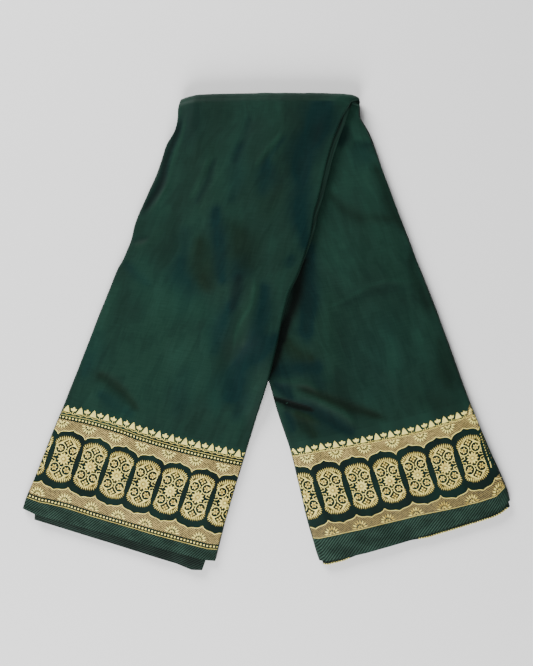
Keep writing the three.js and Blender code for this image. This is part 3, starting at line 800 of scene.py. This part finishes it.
def medallion(work, at, lean, rng):
    """A tall medallion: a rosette, four ringed roundels on scrolls, and at each end a fourfold
    flower under a cap of rays. The dark ground shows between them."""
    def put(u, v):
        return at + u + lean * v, v - 1.0

    def shade(base):
        return min(1.0, max(0.0, base + rng.uniform(-0.1, 0.1)))

    for up in (1, -1):
        tall = up * (1.0 if up > 0 else 1.05)

        def line(points, width, tone, closed=False):
            work.cord(*np.array([put(u, v * tall) for u, v in points]).T, width, tone, 0.22,
                      closed)

        def leaf(u, v, turn, start, stop, width, tone, fat=0.6, edge=0.1):
            turn = math.radians(turn) if up > 0 else math.pi - math.radians(turn)
            work.petal(*put(u, v * tall), turn, start, stop, width, shade(tone), 0.34, fat, edge)

        # the cap's solid gold
        both = np.array(mirrored(CAP_INSIDE) + mirrored(CAP_OUTSIDE))
        n = len(both) // 2
        faces = [(i, n + i, n + i + 1, i + 1)[::up] for i in range(n - 1)]
        work.shape(*put(both[:, 0], both[:, 1] * tall), [0.9] * n + [0.6] * n, 0.14, faces)
        # its rays
        tips = curve_through(mirrored(RAY_TIPS))
        for i in range(21):
            u, v = tips(i / 20)
            root_u, root_v = u * 0.3, 12.0
            turn = math.degrees(math.atan2(u - root_u, v - root_v))
            reach = math.hypot(u - root_u, v - root_v) + rng.uniform(-0.5, 0.4)
            leaf(root_u, root_v, turn, reach - (6.4 if abs(u) < 11 else 5.2), reach, 1.3,
                 1.0, 0.5, 0.45)
        # fourfold flower in its dark diamond
        for turn in (0, 90, 180, 270):
            leaf(0, 19.7, turn, 0.5, 3.9, 2.4, 1.0, 0.64, 0.5)
        work.dot(*put(0, 9.9 * tall), 0.9, shade(0.9))
        # ringed roundels, and the cap's foot between them
        for side in (-1, 1):
            foot = np.array(CAP_FOOT) * (side, tall)
            faces = [face[::-side * up] for face in fan(len(foot) - 1)]
            work.shape(*put(foot[:, 0], foot[:, 1]), 0.8, 0.14, faces)
            turns = np.linspace(0, 2 * math.pi, 24, endpoint=False)
            line([(side * 7.6 + 6.0 * math.sin(t), 11.8 + 6.0 * math.cos(t)) for t in turns],
                 0.85, 0.85, closed=True)
            for k in range(6):
                leaf(side * 7.6, 11.8, 60 * k + 20, 0.7, 3.9, 2.0, 1.0, 0.7, 0.5)
            work.dot(*put(side * 7.6, 11.8 * tall), 0.7, shade(0.4))
            # scroll beside the rosette, and its leaves
            turns = np.linspace(0, 1.7 * math.pi, 14)
            curl = [(side * (11.1 + 1.9 * math.cos(t)), 3.7 + 1.9 * math.sin(t)) for t in turns]
            line([(side * 12.3, 9.0), (side * 13.1, 6.2)] + curl, 0.8, 0.75)
            leaf(side * 12.7, 6.9, side * 35, 0.0, 2.2, 1.1, 0.8)
            leaf(side * 12.2, 1.2, side * 75, 0.0, 1.9, 1.1, 0.8)
    # rosette
    a, b = put(0, 0)
    for k in range(11):
        work.petal(a, b, k * math.pi / 5.5 + 0.1, 1.9, 8.1, 3.0, shade(1.0), 0.38, 0.78, 0.4)
    work.dot(a, b, 1.8, shade(0.88), 0.45)


def shade_of(rng, tone):
    return tone + rng.uniform(-0.12, 0.12)


def half_daisy(work, a, b, down, rng, tone):
    """A half daisy on the edge of the gold tissue: eight rays over five short ones, with the
    dark ground between them."""
    turns = np.radians(np.linspace(-88, 88, 13))
    if down:
        turns = math.pi - turns
    radius = 8.6
    disc = [(a, b)] + [(a + radius * math.sin(t), b + radius * math.cos(t)) for t in turns]
    work.shape(*np.array(disc).T, 0.2, 0.14,
               [(0, i + 1, i) if down else (0, i, i + 1) for i in range(1, len(turns))])
    for start, stop, width, count in ((4.4, 9.6, 1.9, 8), (0.9, 4.0, 1.3, 5)):
        for i in range(count):
            turn = math.radians(lerp(-82, 82, i / (count - 1)))
            work.petal(a, b, math.pi - turn if down else turn, start, stop, width,
                       shade_of(rng, tone), 0.42, 0.7)


def wrapped_ply(work, tissue, rng):
    """Where the next ply wraps the far edge: slips of its tissue, and gold dots and dashes."""
    for start, low, high in ((217.0, [47, 47], [47, 64]), (231.5, [-42, -48], [-35, -33])):
        a = start + np.linspace(0, 10.0, 11)
        share = (a - start) / 10
        tissue.tissue(a, lerp(*low, share), lerp(*high, share), 0.7)
    dots = [(22.5 - 3.4 * k, 1.3, 0.75) for k in range(9)]
    for b, length, tone in dots + [(-11.0, 3.8, 0.9), (-20.5, 7.5, 0.9)]:
        far = float(work.end.width(1 - (b - HEM_AT[work.end]) / END_LENGTH))
        along = far - 4.2 + 0.07 * b
        work.cord([along, along + 0.2], [b, b + length], 0.9, tone, 0.2)
        off = rng.uniform(0.5, 1.6)
        work.cord([far - off - 0.5, far - off], [b + 1.6, b + 2.6], 0.6, shade_of(rng, 0.4), 0.2)


def border(work, tissue, layout, seed):
    """A whole border, in its repeat of medallions, half daisies and tipped edging."""
    rng = random.Random(seed)
    pitch, first, count, lean = (layout[k] for k in ("pitch", "first", "count", "lean"))
    span = np.arange(0.0, BORDER_SPAN, 0.8)

    def cusped(cleft, cusp):
        off = (span - first - lean * cusp + pitch / 2) % pitch - pitch / 2
        return lerp(cleft, cusp, ogee(np.abs(off) / (pitch / 2)))

    top = cusped(layout["cleft_top"], layout["cusp_top"])
    bottom = cusped(layout["cleft_bottom"], layout["cusp_bottom"])
    level = np.ones_like(span)
    tissue.tissue(span, top, level * layout["tissue_top"], 1.0)
    tissue.tissue(span, level * layout["tissue_bottom"], bottom, layout["worn"])
    work.cord(span, top, 0.8, 0.84, 0.2)
    work.cord(span, bottom, 0.8, 0.8, 0.2)
    for k in range(-1, count + 1):
        at = first + k * pitch
        medallion(work, at, lean, rng)
        half = at + pitch / 2
        half_daisy(work, half + lean * 44, layout["daisy_top"], True, rng, 1.0)
        half_daisy(work, half - lean * 46, layout["daisy_bottom"], False, rng,
                   0.35 + 0.65 * layout["worn"])
    for b in layout["lines"]:
        work.cord(span, level * b, 0.5, 0.75, 0.2)
    half, dot_pitch = 0.95, 4.1
    for b in layout["dotted"]:
        for a in np.arange(1.0, 248.0, dot_pitch):
            work.pad([a, a - half, a + half, a + half, a - half],
                     [b, b - half, b - half, b + half, b + half], 1.0)
    if layout["wrapped"]:
        wrapped_ply(work, tissue, rng)
    base, tip, step = layout["edging"], layout["tip"], layout["tip_pitch"]
    chain = np.arange(0.0, BORDER_SPAN, 0.55)
    work.cord(chain, base - 1.5 + 0.6 * np.sin(chain * 4 * math.pi / step), 0.65, 0.7, 0.2)
    tiers, foot = 4, 4.5
    a = layout["first_tip"] - step
    while a < BORDER_SPAN + 2:
        # a tapering stack of tiers
        for row in range(tiers):
            low = base + row * (tip - base) / tiers
            high = base + (row + 1) * (tip - base) / tiers
            half = foot * (1 - row / 4.5)
            upper_half = half * (0.7 if row < tiers - 1 else 0.2)
            work.pad([a, a - half, a + half, a + upper_half, a - upper_half],
                     [(low + high) / 2, low, low, high, high], 0.92 - 0.03 * row, 0.34, 0.12)
        # a tulip on its stem, with a bud at each side of its foot
        mid = a + step / 2
        work.petal(mid, base + 2.9, 0, 0.0, tip - base - 3.4, 3.0, 0.92, 0.34, 0.55)
        for side in (-1, 1):
            work.petal(mid, base + 2.4, side * 0.85, 0.2, 5.0, 2.9, 0.92, 0.34, 0.66)
            work.dot(mid + side * 2.6, base - 0.2, 0.6, 0.8)
        work.cord([mid, mid, mid], [base - 1.4, base + 1.0, base + 3.0], 0.8, 0.8)
        a += step


UPPER_LAYOUT = {
    "pitch": 34.13, "first": 6.3, "count": 7, "lean": -0.045, "tip_pitch": 16.7, "first_tip": 8.0,
    "cleft_top": 25.8, "cusp_top": 35.2, "cleft_bottom": -31.6, "cusp_bottom": -39.6,
    "tissue_top": 45.4, "tissue_bottom": -50.9, "daisy_top": 43.6, "daisy_bottom": -49.4,
    "lines": [51.3, -56.8], "dotted": [48.2, -53.8],
    "edging": 55.8, "tip": 64.4, "worn": 0.85, "wrapped": False,
}
LOWER_LAYOUT = {
    "pitch": 35.1, "first": 3.0, "count": 6, "lean": -0.075, "tip_pitch": 17.08, "first_tip": 3.3,
    "cleft_top": 27.2, "cusp_top": 37.0, "cleft_bottom": -32.8, "cusp_bottom": -41.0,
    "tissue_top": 47.2, "tissue_bottom": -51.5, "daisy_top": 45.4, "daisy_bottom": -50.2,
    "lines": [47.3, -51.6], "dotted": [], "edging": 49.6, "tip": 57.4,
    "worn": 0.5, "wrapped": True,
}


# Materials

# The silk's drift between deep and light green is a painted sheen. Its teal and olive are painted
# sheen on crease slopes, its shade colour painted shade in hollows, and its crest colour a painted
# highlight.
SILK_GREEN, SILK_DEEP, SILK_LIGHT = "#162d25", "#12261f", "#1b372d"
SILK_TEAL_SHEEN, SILK_OLIVE_SHEEN = "#0b2524", "#122318"
SILK_SHADE, SILK_PAINTED_HIGHLIGHT, SILK_SHEEN = "#060e0b", "#1d3c30", "#3f7a63"
BORDER_GROUND, BORDER_DEEP = "#0f241f", "#0c1a17"
TWILL_DARK, TWILL_LIGHT = "#081411", "#365044"
ZARI_DEEP, ZARI_GOLD, ZARI_PALE = "#54461f", "#bfa448", "#fff184"
TISSUE_GREEN, TISSUE_TAN, TISSUE_GOLD = "#1b1c10", "#6f6236", "#d8bd70"
TISSUE_DULL = "#2e2a1a"
# Dark silk seen from above shows little gloss and the faintest sheen
SILK_GLOSS = {"IOR": 1.55, "Specular IOR Level": 0.07, "Sheen Weight": 0.03}
GOLD_METAL = 0.15  # most of gilt thread's light comes back scattered
STRIPES = {"wave_type": "BANDS", "wave_profile": "SIN"}
STRIPE_SCALE = math.pi / 10  # makes a stripe of a wave one repeat wide


def colour(code):
    """Linear colour from an sRGB hex code."""
    parts = [int(code[i:i + 2], 16) / 255 for i in (1, 3, 5)]
    return [p / 12.92 if p <= 0.04045 else ((p + 0.055) / 1.055) ** 2.4 for p in parts] + [1.0]


def add(material, kind, values):
    """Adds a shader node. Its settings have names in lower case, and come first. Its inputs are
    values, hex colours, or the nodes and sockets that feed them."""
    tree = material.node_tree
    node = tree.nodes.new(kind)
    for name, value in values.items():
        if name == "stops":
            elements = node.color_ramp.elements
            for i, (place, code) in enumerate(value):
                element = elements[i] if i < 2 else elements.new(place)
                element.position, element.color = place, colour(code)
            continue
        if str(name).islower():
            setattr(node, name, value)
            continue
        socket = node.inputs[name] if isinstance(name, int) else next(
            s for s in node.inputs if s.name == name and s.enabled)
        if isinstance(value, bpy.types.Node):
            value = next(s for s in value.outputs if s.enabled)
        if isinstance(value, bpy.types.NodeSocket):
            tree.links.new(value, socket)
        else:
            socket.default_value = colour(value) if isinstance(value, str) else value
    return node


def new_material(name):
    material = bpy.data.materials.new(name)
    material.use_nodes = True
    material.node_tree.nodes.clear()
    return material


def cloth_place(material, across, along, turn=0.0):
    """Cloth coordinates scaled so that 1 is a repeat of the given size in millimetres."""
    return add(material, "ShaderNodeMapping", {
        "Vector": add(material, "ShaderNodeUVMap", {"uv_map": "cloth"}),
        "Scale": (PAINT_SCALE / across, PAINT_SCALE / along, 1),
        "Rotation": (0, 0, math.radians(turn))})


def painted(material):
    """What paint() gave: a crease's painted sheen (teal, olive) and painted shade, or the tone of
    gold.
    """
    painted_light_and_tone = add(material, "ShaderNodeAttribute", {
        "attribute_type": "GEOMETRY", "attribute_name": "painted_light_and_tone"})
    return add(material, "ShaderNodeSeparateColor", {"Color": painted_light_and_tone.outputs["Color"]})


def dulled(material, body, pattern, stops, share):
    """A colour made uneven by a pattern."""
    return add(material, "ShaderNodeMix", {
        "data_type": "RGBA", "blend_type": "MULTIPLY", "Factor": share, "A": body,
        "B": add(material, "ShaderNodeValToRGB", {"stops": stops, "Fac": pattern})})


def finish(material, body, relief, strength, depth, looks):
    """A cloth's surface, from its colour, its relief (depth in millimetres) and its gloss."""
    bump = add(material, "ShaderNodeBump", {
        "Strength": strength, "Distance": depth * MM, "Height": relief})
    shader = add(material, "ShaderNodeBsdfPrincipled", {
        "Base Color": body, "Normal": bump, **looks})
    add(material, "ShaderNodeOutputMaterial", {"Surface": shader})
    return material


def shot_colour(material):
    """Shot silk, green warp and teal weft. Its green drifts lighter and darker in slow patches,
    a painted sheen, and each crease adds its own painted sheen, teal and olive, and painted
    shade, or a painted highlight on a crest."""
    drift = add(material, "ShaderNodeTexNoise", {
        "Vector": cloth_place(material, 60, 150), "Scale": 1.0, "Detail": 3.0,
        "Roughness": 0.55})
    body = add(material, "ShaderNodeValToRGB", {
        "stops": [(0.32, SILK_DEEP), (0.5, SILK_GREEN), (0.68, SILK_LIGHT)], "Fac": drift})
    blotch = add(material, "ShaderNodeTexNoise", {
        "Vector": cloth_place(material, 14, 34), "Scale": 1.0, "Detail": 3.0})
    softly = add(material, "ShaderNodeMapRange", {
        "Value": blotch, "From Min": 0.3, "From Max": 0.7, "To Min": 2.7, "To Max": 4.3})
    painted_light_and_tone = painted(material)
    # painted light: teal and olive sheen, shade darkening hollows, and a highlight where shade is
    # negative
    for name, strength, code in (("Red", softly, SILK_TEAL_SHEEN), ("Green", softly, SILK_OLIVE_SHEEN),
                                 ("Blue", 3.4, SILK_SHADE), ("Blue", -3.2, SILK_PAINTED_HIGHLIGHT)):
        above = add(material, "ShaderNodeMath", {
            "operation": "SUBTRACT", 0: painted_light_and_tone.outputs[name], 1: 0.5})
        share = add(material, "ShaderNodeMath", {
            "operation": "MULTIPLY", "use_clamp": True, 0: above, 1: strength})
        body = add(material, "ShaderNodeMix", {
            "data_type": "RGBA", "Factor": share, "A": body, "B": code})
    return body


def silk(name):
    """Shot mulberry silk, plain woven and calendered: a dark, soft satin gloss with fine slubs
    across it, and long faint painted sheen streaks. Its threads are 0.1 mm, too fine to show, so
    the slubs are drawn 1.5 mm apart."""
    material = new_material(name)
    slubs = add(material, "ShaderNodeTexNoise", {
        "Vector": cloth_place(material, 16, 1.5), "Scale": 1.0, "Detail": 2.0})
    warp = add(material, "ShaderNodeTexNoise", {
        "Vector": cloth_place(material, 1.6, 26), "Scale": 1.0, "Detail": 1.0})
    grain = add(material, "ShaderNodeMix", {
        "data_type": "FLOAT", "Factor": 0.4, "A": slubs, "B": warp})
    sheen_streaks = add(material, "ShaderNodeTexNoise", {
        "Vector": cloth_place(material, 17, 50, 10), "Scale": 1.0, "Detail": 2.0,
        "Distortion": 0.8})
    body = dulled(material, shot_colour(material), grain,
                  [(0.36, "#dcdcdc"), (0.62, "#ffffff")], 0.5)
    # painted sheen: long soft streaks, darker between lighter ones
    body = dulled(material, body, sheen_streaks, [(0.44, "#d6dbdd"), (0.52, "#ffffff")], 0.4)
    gloss = add(material, "ShaderNodeMapRange", {
        "Value": grain, "From Min": 0.3, "From Max": 0.7, "To Min": 0.42, "To Max": 0.56})
    return finish(material, body, grain, 0.1, 0.4, {
        **SILK_GLOSS, "Roughness": gloss, "Sheen Roughness": 0.4, "Sheen Tint": SILK_SHEEN})


def twill(material, turn):
    """The selvedge band's diagonal twill: its colour and its relief. The real lines are 0.5 mm
    apart, and drawn at 2.6 mm."""
    lines = add(material, "ShaderNodeTexWave", {
        **STRIPES, "bands_direction": "X", "Vector": cloth_place(material, 2.6, 2.6, turn),
        "Scale": STRIPE_SCALE})
    floats = add(material, "ShaderNodeTexNoise", {
        "Vector": cloth_place(material, 2.6, 1.2), "Scale": 1.0, "Detail": 1.0})
    broken = add(material, "ShaderNodeMix", {
        "data_type": "FLOAT", "Factor": 0.5, "A": lines, "B": floats})
    band = add(material, "ShaderNodeValToRGB", {
        "stops": [(0.32, TWILL_DARK), (0.74, TWILL_LIGHT)], "Fac": broken})
    drift = add(material, "ShaderNodeTexNoise", {
        "Vector": cloth_place(material, 24, 12), "Scale": 1.0, "Detail": 2.0})
    return dulled(material, band, drift, [(0.35, "#b4b4b4"), (0.65, "#ffffff")], 0.9), broken


def border_silk(name, low, high, turn):
    """The border's ground: the same silk, its teal weft packed closer, so darker and bluer. It
    ends in the twill band, nearer each hem than low and high, and in the field's own silk."""
    material = new_material(name)
    drift = add(material, "ShaderNodeTexNoise", {
        "Vector": cloth_place(material, 30, 60), "Scale": 1.0, "Detail": 3.0})
    ground = add(material, "ShaderNodeValToRGB", {
        "stops": [(0.36, BORDER_DEEP), (0.62, BORDER_GROUND)], "Fac": drift})
    band, lines = twill(material, turn)
    place = add(material, "ShaderNodeSeparateXYZ", {
        "Vector": add(material, "ShaderNodeUVMap", {"uv_map": "cloth"})})
    length = add(material, "ShaderNodeMath", {
        "operation": "MULTIPLY", 0: place.outputs["Y"], 1: PAINT_SCALE})

    def where(joined, *tests):
        """1 where the tests of the length along the strip hold."""
        held = [add(material, "ShaderNodeMath", {"operation": test, 0: length, 1: limit})
                for test, limit in tests]
        return add(material, "ShaderNodeMath", {"operation": joined, 0: held[0], 1: held[1]})

    in_band = where("MAXIMUM", ("LESS_THAN", low[0]), ("GREATER_THAN", high[0]))
    in_field = where("MULTIPLY", ("GREATER_THAN", low[1]), ("LESS_THAN", high[1]))
    body = ground
    for share, other in ((in_field, shot_colour(material)), (in_band, band)):
        body = add(material, "ShaderNodeMix", {
            "data_type": "RGBA", "Factor": share, "A": body, "B": other})
    relief = add(material, "ShaderNodeMath", {"operation": "MULTIPLY", 0: lines, 1: in_band})
    return finish(material, body, relief, 0.35, 0.3, {
        **SILK_GLOSS, "Roughness": 0.52, "Sheen Tint": SILK_SHEEN})


def twill_hem(name):
    """The second layer's selvedge band: the same diagonal twill, dull where it lies in shade."""
    material = new_material(name)
    band, lines = twill(material, -48)
    band = add(material, "ShaderNodeMix", {
        "data_type": "RGBA", "blend_type": "MULTIPLY", "Factor": 1.0, "A": band, "B": "#bcbcbc"})
    return finish(material, band, lines, 0.35, 0.3, {**SILK_GLOSS, "Roughness": 0.56})


def layered_silk(name):
    """Folded edges of the same silk, seen end on: each fold catches a little light."""
    material = new_material(name)
    drift = add(material, "ShaderNodeTexNoise", {
        "Vector": cloth_place(material, 4, 120), "Scale": 1.0, "Detail": 3.0})
    body = add(material, "ShaderNodeValToRGB", {
        "stops": [(0.3, SILK_SHADE), (0.5, SILK_DEEP), (0.75, SILK_GREEN)], "Fac": drift})
    grain = add(material, "ShaderNodeTexNoise", {
        "Vector": cloth_place(material, 1.5, 9), "Scale": 1.0, "Detail": 1.0})
    return finish(material, body, grain, 0.2, 0.3, {**SILK_GLOSS, "Roughness": 0.5})


def zari(name):
    """Zari: silk thread wrapped in gilt strip, floated over the ground in close rows, so each
    motif glints and shows its rows. The threads are 0.2 mm, drawn 0.9 mm apart."""
    material = new_material(name)
    rows = add(material, "ShaderNodeTexWave", {
        **STRIPES, "bands_direction": "Y", "Vector": cloth_place(material, 0.9, 0.9),
        "Scale": STRIPE_SCALE})
    worn = add(material, "ShaderNodeTexNoise", {
        "Vector": cloth_place(material, 9, 9), "Scale": 1.0, "Detail": 3.0})
    wear = add(material, "ShaderNodeMapRange", {
        "Value": worn, "From Min": 0.25, "From Max": 0.75, "To Min": -0.16, "To Max": 0.16})
    ribbed = add(material, "ShaderNodeMapRange", {"Value": rows, "To Min": -0.06, "To Max": 0.06})
    tone = add(material, "ShaderNodeMath", {
        "operation": "ADD", 0: painted(material).outputs["Red"], 1: wear})
    tone = add(material, "ShaderNodeMath", {
        "operation": "ADD", "use_clamp": True, 0: tone, 1: ribbed})
    body = add(material, "ShaderNodeValToRGB", {
        "stops": [(0.14, BORDER_GROUND), (0.3, ZARI_DEEP), (0.55, ZARI_GOLD),
                  (0.88, ZARI_PALE)], "Fac": tone})
    return finish(material, body, rows, 0.25, 0.2, {"Metallic": GOLD_METAL, "Roughness": 0.46})


def gold_tissue(name):
    """Gold tissue: zari weft bound down by green warp in a fine diagonal, so that it reads as
    tan, duller where it is worn. The binding is 0.4 mm, and drawn at 1.9 mm."""
    material = new_material(name)
    hatch = add(material, "ShaderNodeTexWave", {
        **STRIPES, "bands_direction": "X", "Vector": cloth_place(material, 1.9, 1.9, -40),
        "Scale": STRIPE_SCALE})
    fleck = add(material, "ShaderNodeTexNoise", {
        "Vector": cloth_place(material, 2.7, 2.7), "Scale": 1.0, "Detail": 2.0})
    weave = add(material, "ShaderNodeMix", {
        "data_type": "FLOAT", "Factor": 0.65, "A": hatch, "B": fleck})
    body = add(material, "ShaderNodeValToRGB", {
        "stops": [(0.37, TISSUE_GREEN), (0.49, TISSUE_TAN), (0.6, TISSUE_GOLD)], "Fac": weave})
    patch = add(material, "ShaderNodeTexNoise", {
        "Vector": cloth_place(material, 28, 28), "Scale": 1.0, "Detail": 2.0})
    body = dulled(material, body, patch, [(0.3, "#b9b9b2"), (0.65, "#ffffff")], 0.8)
    body = add(material, "ShaderNodeMix", {
        "data_type": "RGBA", "Factor": painted(material).outputs["Red"], "A": TISSUE_DULL,
        "B": body})
    return finish(material, body, weave, 0.3, 0.2, {"Metallic": GOLD_METAL, "Roughness": 0.55})


LOWER_HEM_AT = END_LENGTH + STACK * math.pi + END_LENGTH
# Distance along the strip of each end's twill band, and of where its field begins
UPPER_BANDS = (13.2, 125.0)
LOWER_BANDS = (LOWER_HEM_AT - 27.2, LOWER_HEM_AT - 127.5)


# The saree's pieces

field_silk = silk("Shot silk, calendered")
upper_ground = border_silk("Shot silk border ground, right twill", UPPER_BANDS, LOWER_BANDS, 33)
lower_ground = border_silk("Shot silk border ground, left twill", UPPER_BANDS, LOWER_BANDS, -52)
twill_selvedge = twill_hem("Silk twill selvedge")
edge_silk = layered_silk("Folded silk edges")
gold = zari("Gilt zari thread")
tissue_cloth = gold_tissue("Gold tissue weave")

upper_seam, lower_seam = 1 - UPPER_BORDER / END_LENGTH, 1 - LOWER_BORDER / END_LENGTH
turn_rows = [("fold", math.pi * i / 22) for i in range(1, 22)]
fine, coarse = 150, 40

outer_rows = (stations("upper", upper_seam, 0, fine) + turn_rows
              + stations("lower", 0, lower_seam, coarse))
inner_rows = (stations("upper", upper_seam, 0, coarse) + turn_rows
              + stations("lower", 0, lower_seam, fine))
outer_silk = cloth_sheet("outer_layer_silk", outer_rows, "outer", 100, field_silk)
inner_silk = cloth_sheet("inner_layer_silk", inner_rows, "inner", 100, field_silk)
upper_border = cloth_sheet("upper_end_border", stations("upper", 1, upper_seam, 48), "outer",
                           100, upper_ground, True)
upper_under = cloth_sheet("upper_end_underside_border", stations("upper", 1, upper_seam, 24),
                          "inner", 60, upper_ground, True)
lower_border = cloth_sheet("lower_end_border", stations("lower", lower_seam, 1, 50), "inner",
                           100, lower_ground, True)
lower_under = cloth_sheet("lower_end_underside_border", stations("lower", lower_seam, 1, 24),
                          "outer", 60, lower_ground, True)

stack_rows = stations("upper", 1, 0, 120) + turn_rows[::2] + stations("lower", 0, 1, 120)
stack = hidden_stack("hidden_layers_stack", stack_rows, 30, edge_silk)

UPPER_STEP = [(0, 6.5), (0.25, 8.5), (0.55, 11), (0.85, 13.3), (0.94, 15.8), (1, 13)]
LOWER_STEP = [(0, 4.8), (0.1, 3.6), (0.18, 0.4), (0.46, 0.6), (0.55, 3.6), (0.9, 4.4),
              (0.95, 2.9), (0.985, 5.6), (1, 6.5)]
upper_second, _ = second_hem("upper_end_second_hem", "upper", "outer", UPPER_STEP, (17.5, 12),
                             twill_selvedge)
lower_second, selvedge = second_hem("lower_end_second_hem", "lower", "inner", LOWER_STEP,
                                    (2.5, 2), twill_selvedge)


def picot(line):
    """The second layer's picot selvedge: a row of small gold loops along its hem, where it
    shows past the first."""
    line, _, reach = measured(line)
    away = np.append(lower.away, 0.0)

    def at(d):
        return np.array([np.interp(d, reach, line[:, k]) for k in range(3)])

    points, faces, tones = [], [], []
    for i, d in enumerate(np.arange(1.4, reach[-1] - 1.4, 3.1)):
        if profile(LOWER_STEP, d / reach[-1]) < 2:
            continue
        here = at(d)
        ahead = at(d + 0.5) - here
        ahead /= np.linalg.norm(ahead)
        first = len(points)
        faces += [(first, first + j, first + i) for _, i, j in fan(5)]
        for a, b, lift in ((0, -0.2, 0.5), (-0.55, -1.3, 0.1), (0.55, -1.3, 0.1), (0.75, 0.2, 0.1),
                           (0, 1.1, 0.05), (-0.75, 0.2, 0.1)):
            points.append(here + ahead * a + away * b + np.array([0, 0, lift]))
        tones += [0.82 + 0.1 * math.sin(i * 2.1)] * 6
    piece = new_piece("lower_end_picot_selvedge", points, faces, gold, 60)
    paint(piece, np.array(points)[:, :2], toned(np.array(tones)))
    return piece


picot_edge = picot(selvedge)

gold_pieces = {}
for word, layout, seed in (("upper", UPPER_LAYOUT, 5), ("lower", LOWER_LAYOUT, 6)):
    for under, label in ((False, f"{word}_end"), (True, f"{word}_end_underside")):
        work, ground = Goldwork(ENDS[word], under), Goldwork(ENDS[word], under)
        border(work, ground, layout, seed + 10 * under)
        gold_pieces[word, under] = [work.piece(f"{label}_zari_motifs", gold),
                                    ground.piece(f"{label}_gold_tissue", tissue_cloth)]

SLOTS = {
    "silk_field": [outer_silk, inner_silk],
    "zari_border": [upper_border, upper_under, lower_border, lower_under]
    + [piece for pair in gold_pieces.values() for piece in pair],
    "layered_edges": [stack],
    "second_layer_hem": [upper_second, lower_second, picot_edge],
}
for slot_name, members in SLOTS.items():
    for member in members:
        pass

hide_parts("outer_silk")
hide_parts("inner_silk")
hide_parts("outer_border_upper_end")
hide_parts("inner_border_upper_end")
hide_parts("inner_border_lower_end")
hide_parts("outer_border_lower_end")
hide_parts("hidden_layers")
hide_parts("second_hem_upper_end")
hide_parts("second_hem_lower_end")


# Floor, light and camera

def floor_material():
    """White paper roll, matt."""
    material = new_material("White paper")
    shader = add(material, "ShaderNodeBsdfPrincipled", {
        "Base Color": "#f8f8f8", "Roughness": 0.9, "Specular IOR Level": 0.1})
    add(material, "ShaderNodeOutputMaterial", {"Surface": shader})
    return material


def make_floor(size=8.0):
    mesh = bpy.data.meshes.new("floor")
    half = size / 2
    corners = [(-half, -half, 0), (half, -half, 0), (half, half, 0), (-half, half, 0)]
    mesh.from_pydata(corners, [], [(0, 1, 2, 3)])
    mesh.materials.append(floor_material())
    floor = bpy.data.objects.new("floor", mesh)
    floor.location.z = -0.0004
    bpy.context.scene.collection.objects.link(floor)


def soft_light(name, place, size, power):
    light = bpy.data.lights.new(name, "AREA")
    light.shape, light.size, light.energy = "DISK", size, power
    lamp = bpy.data.objects.new(name, light)
    lamp.location = place
    lamp.rotation_euler = (-Vector(place)).to_track_quat("-Z", "Y").to_euler()
    bpy.context.scene.collection.objects.link(lamp)


make_floor()
soft_light("key softbox", (-1.1, 1.8, 1.3), 1.4, 82)
soft_light("fill softbox", (-0.5, -2.1, 1.4), 1.8, 110)

world = bpy.data.worlds.new("studio")
world.use_nodes = True
world.node_tree.nodes["Background"].inputs["Color"].default_value = (1, 1, 1, 1)
world.node_tree.nodes["Background"].inputs["Strength"].default_value = 0.3
bpy.context.scene.world = world

CAMERA_HEIGHT = 1.6
VIEW_HEIGHT = 0.815  # of the floor that the picture's long side takes in
camera = bpy.data.cameras.new("camera")
camera.sensor_width = 36
camera.lens = 36 * CAMERA_HEIGHT / VIEW_HEIGHT
camera_object = bpy.data.objects.new("camera", camera)
camera_object.location = (0.0002, -0.0018, CAMERA_HEIGHT + 0.009)
bpy.context.scene.collection.objects.link(camera_object)
bpy.context.scene.camera = camera_object
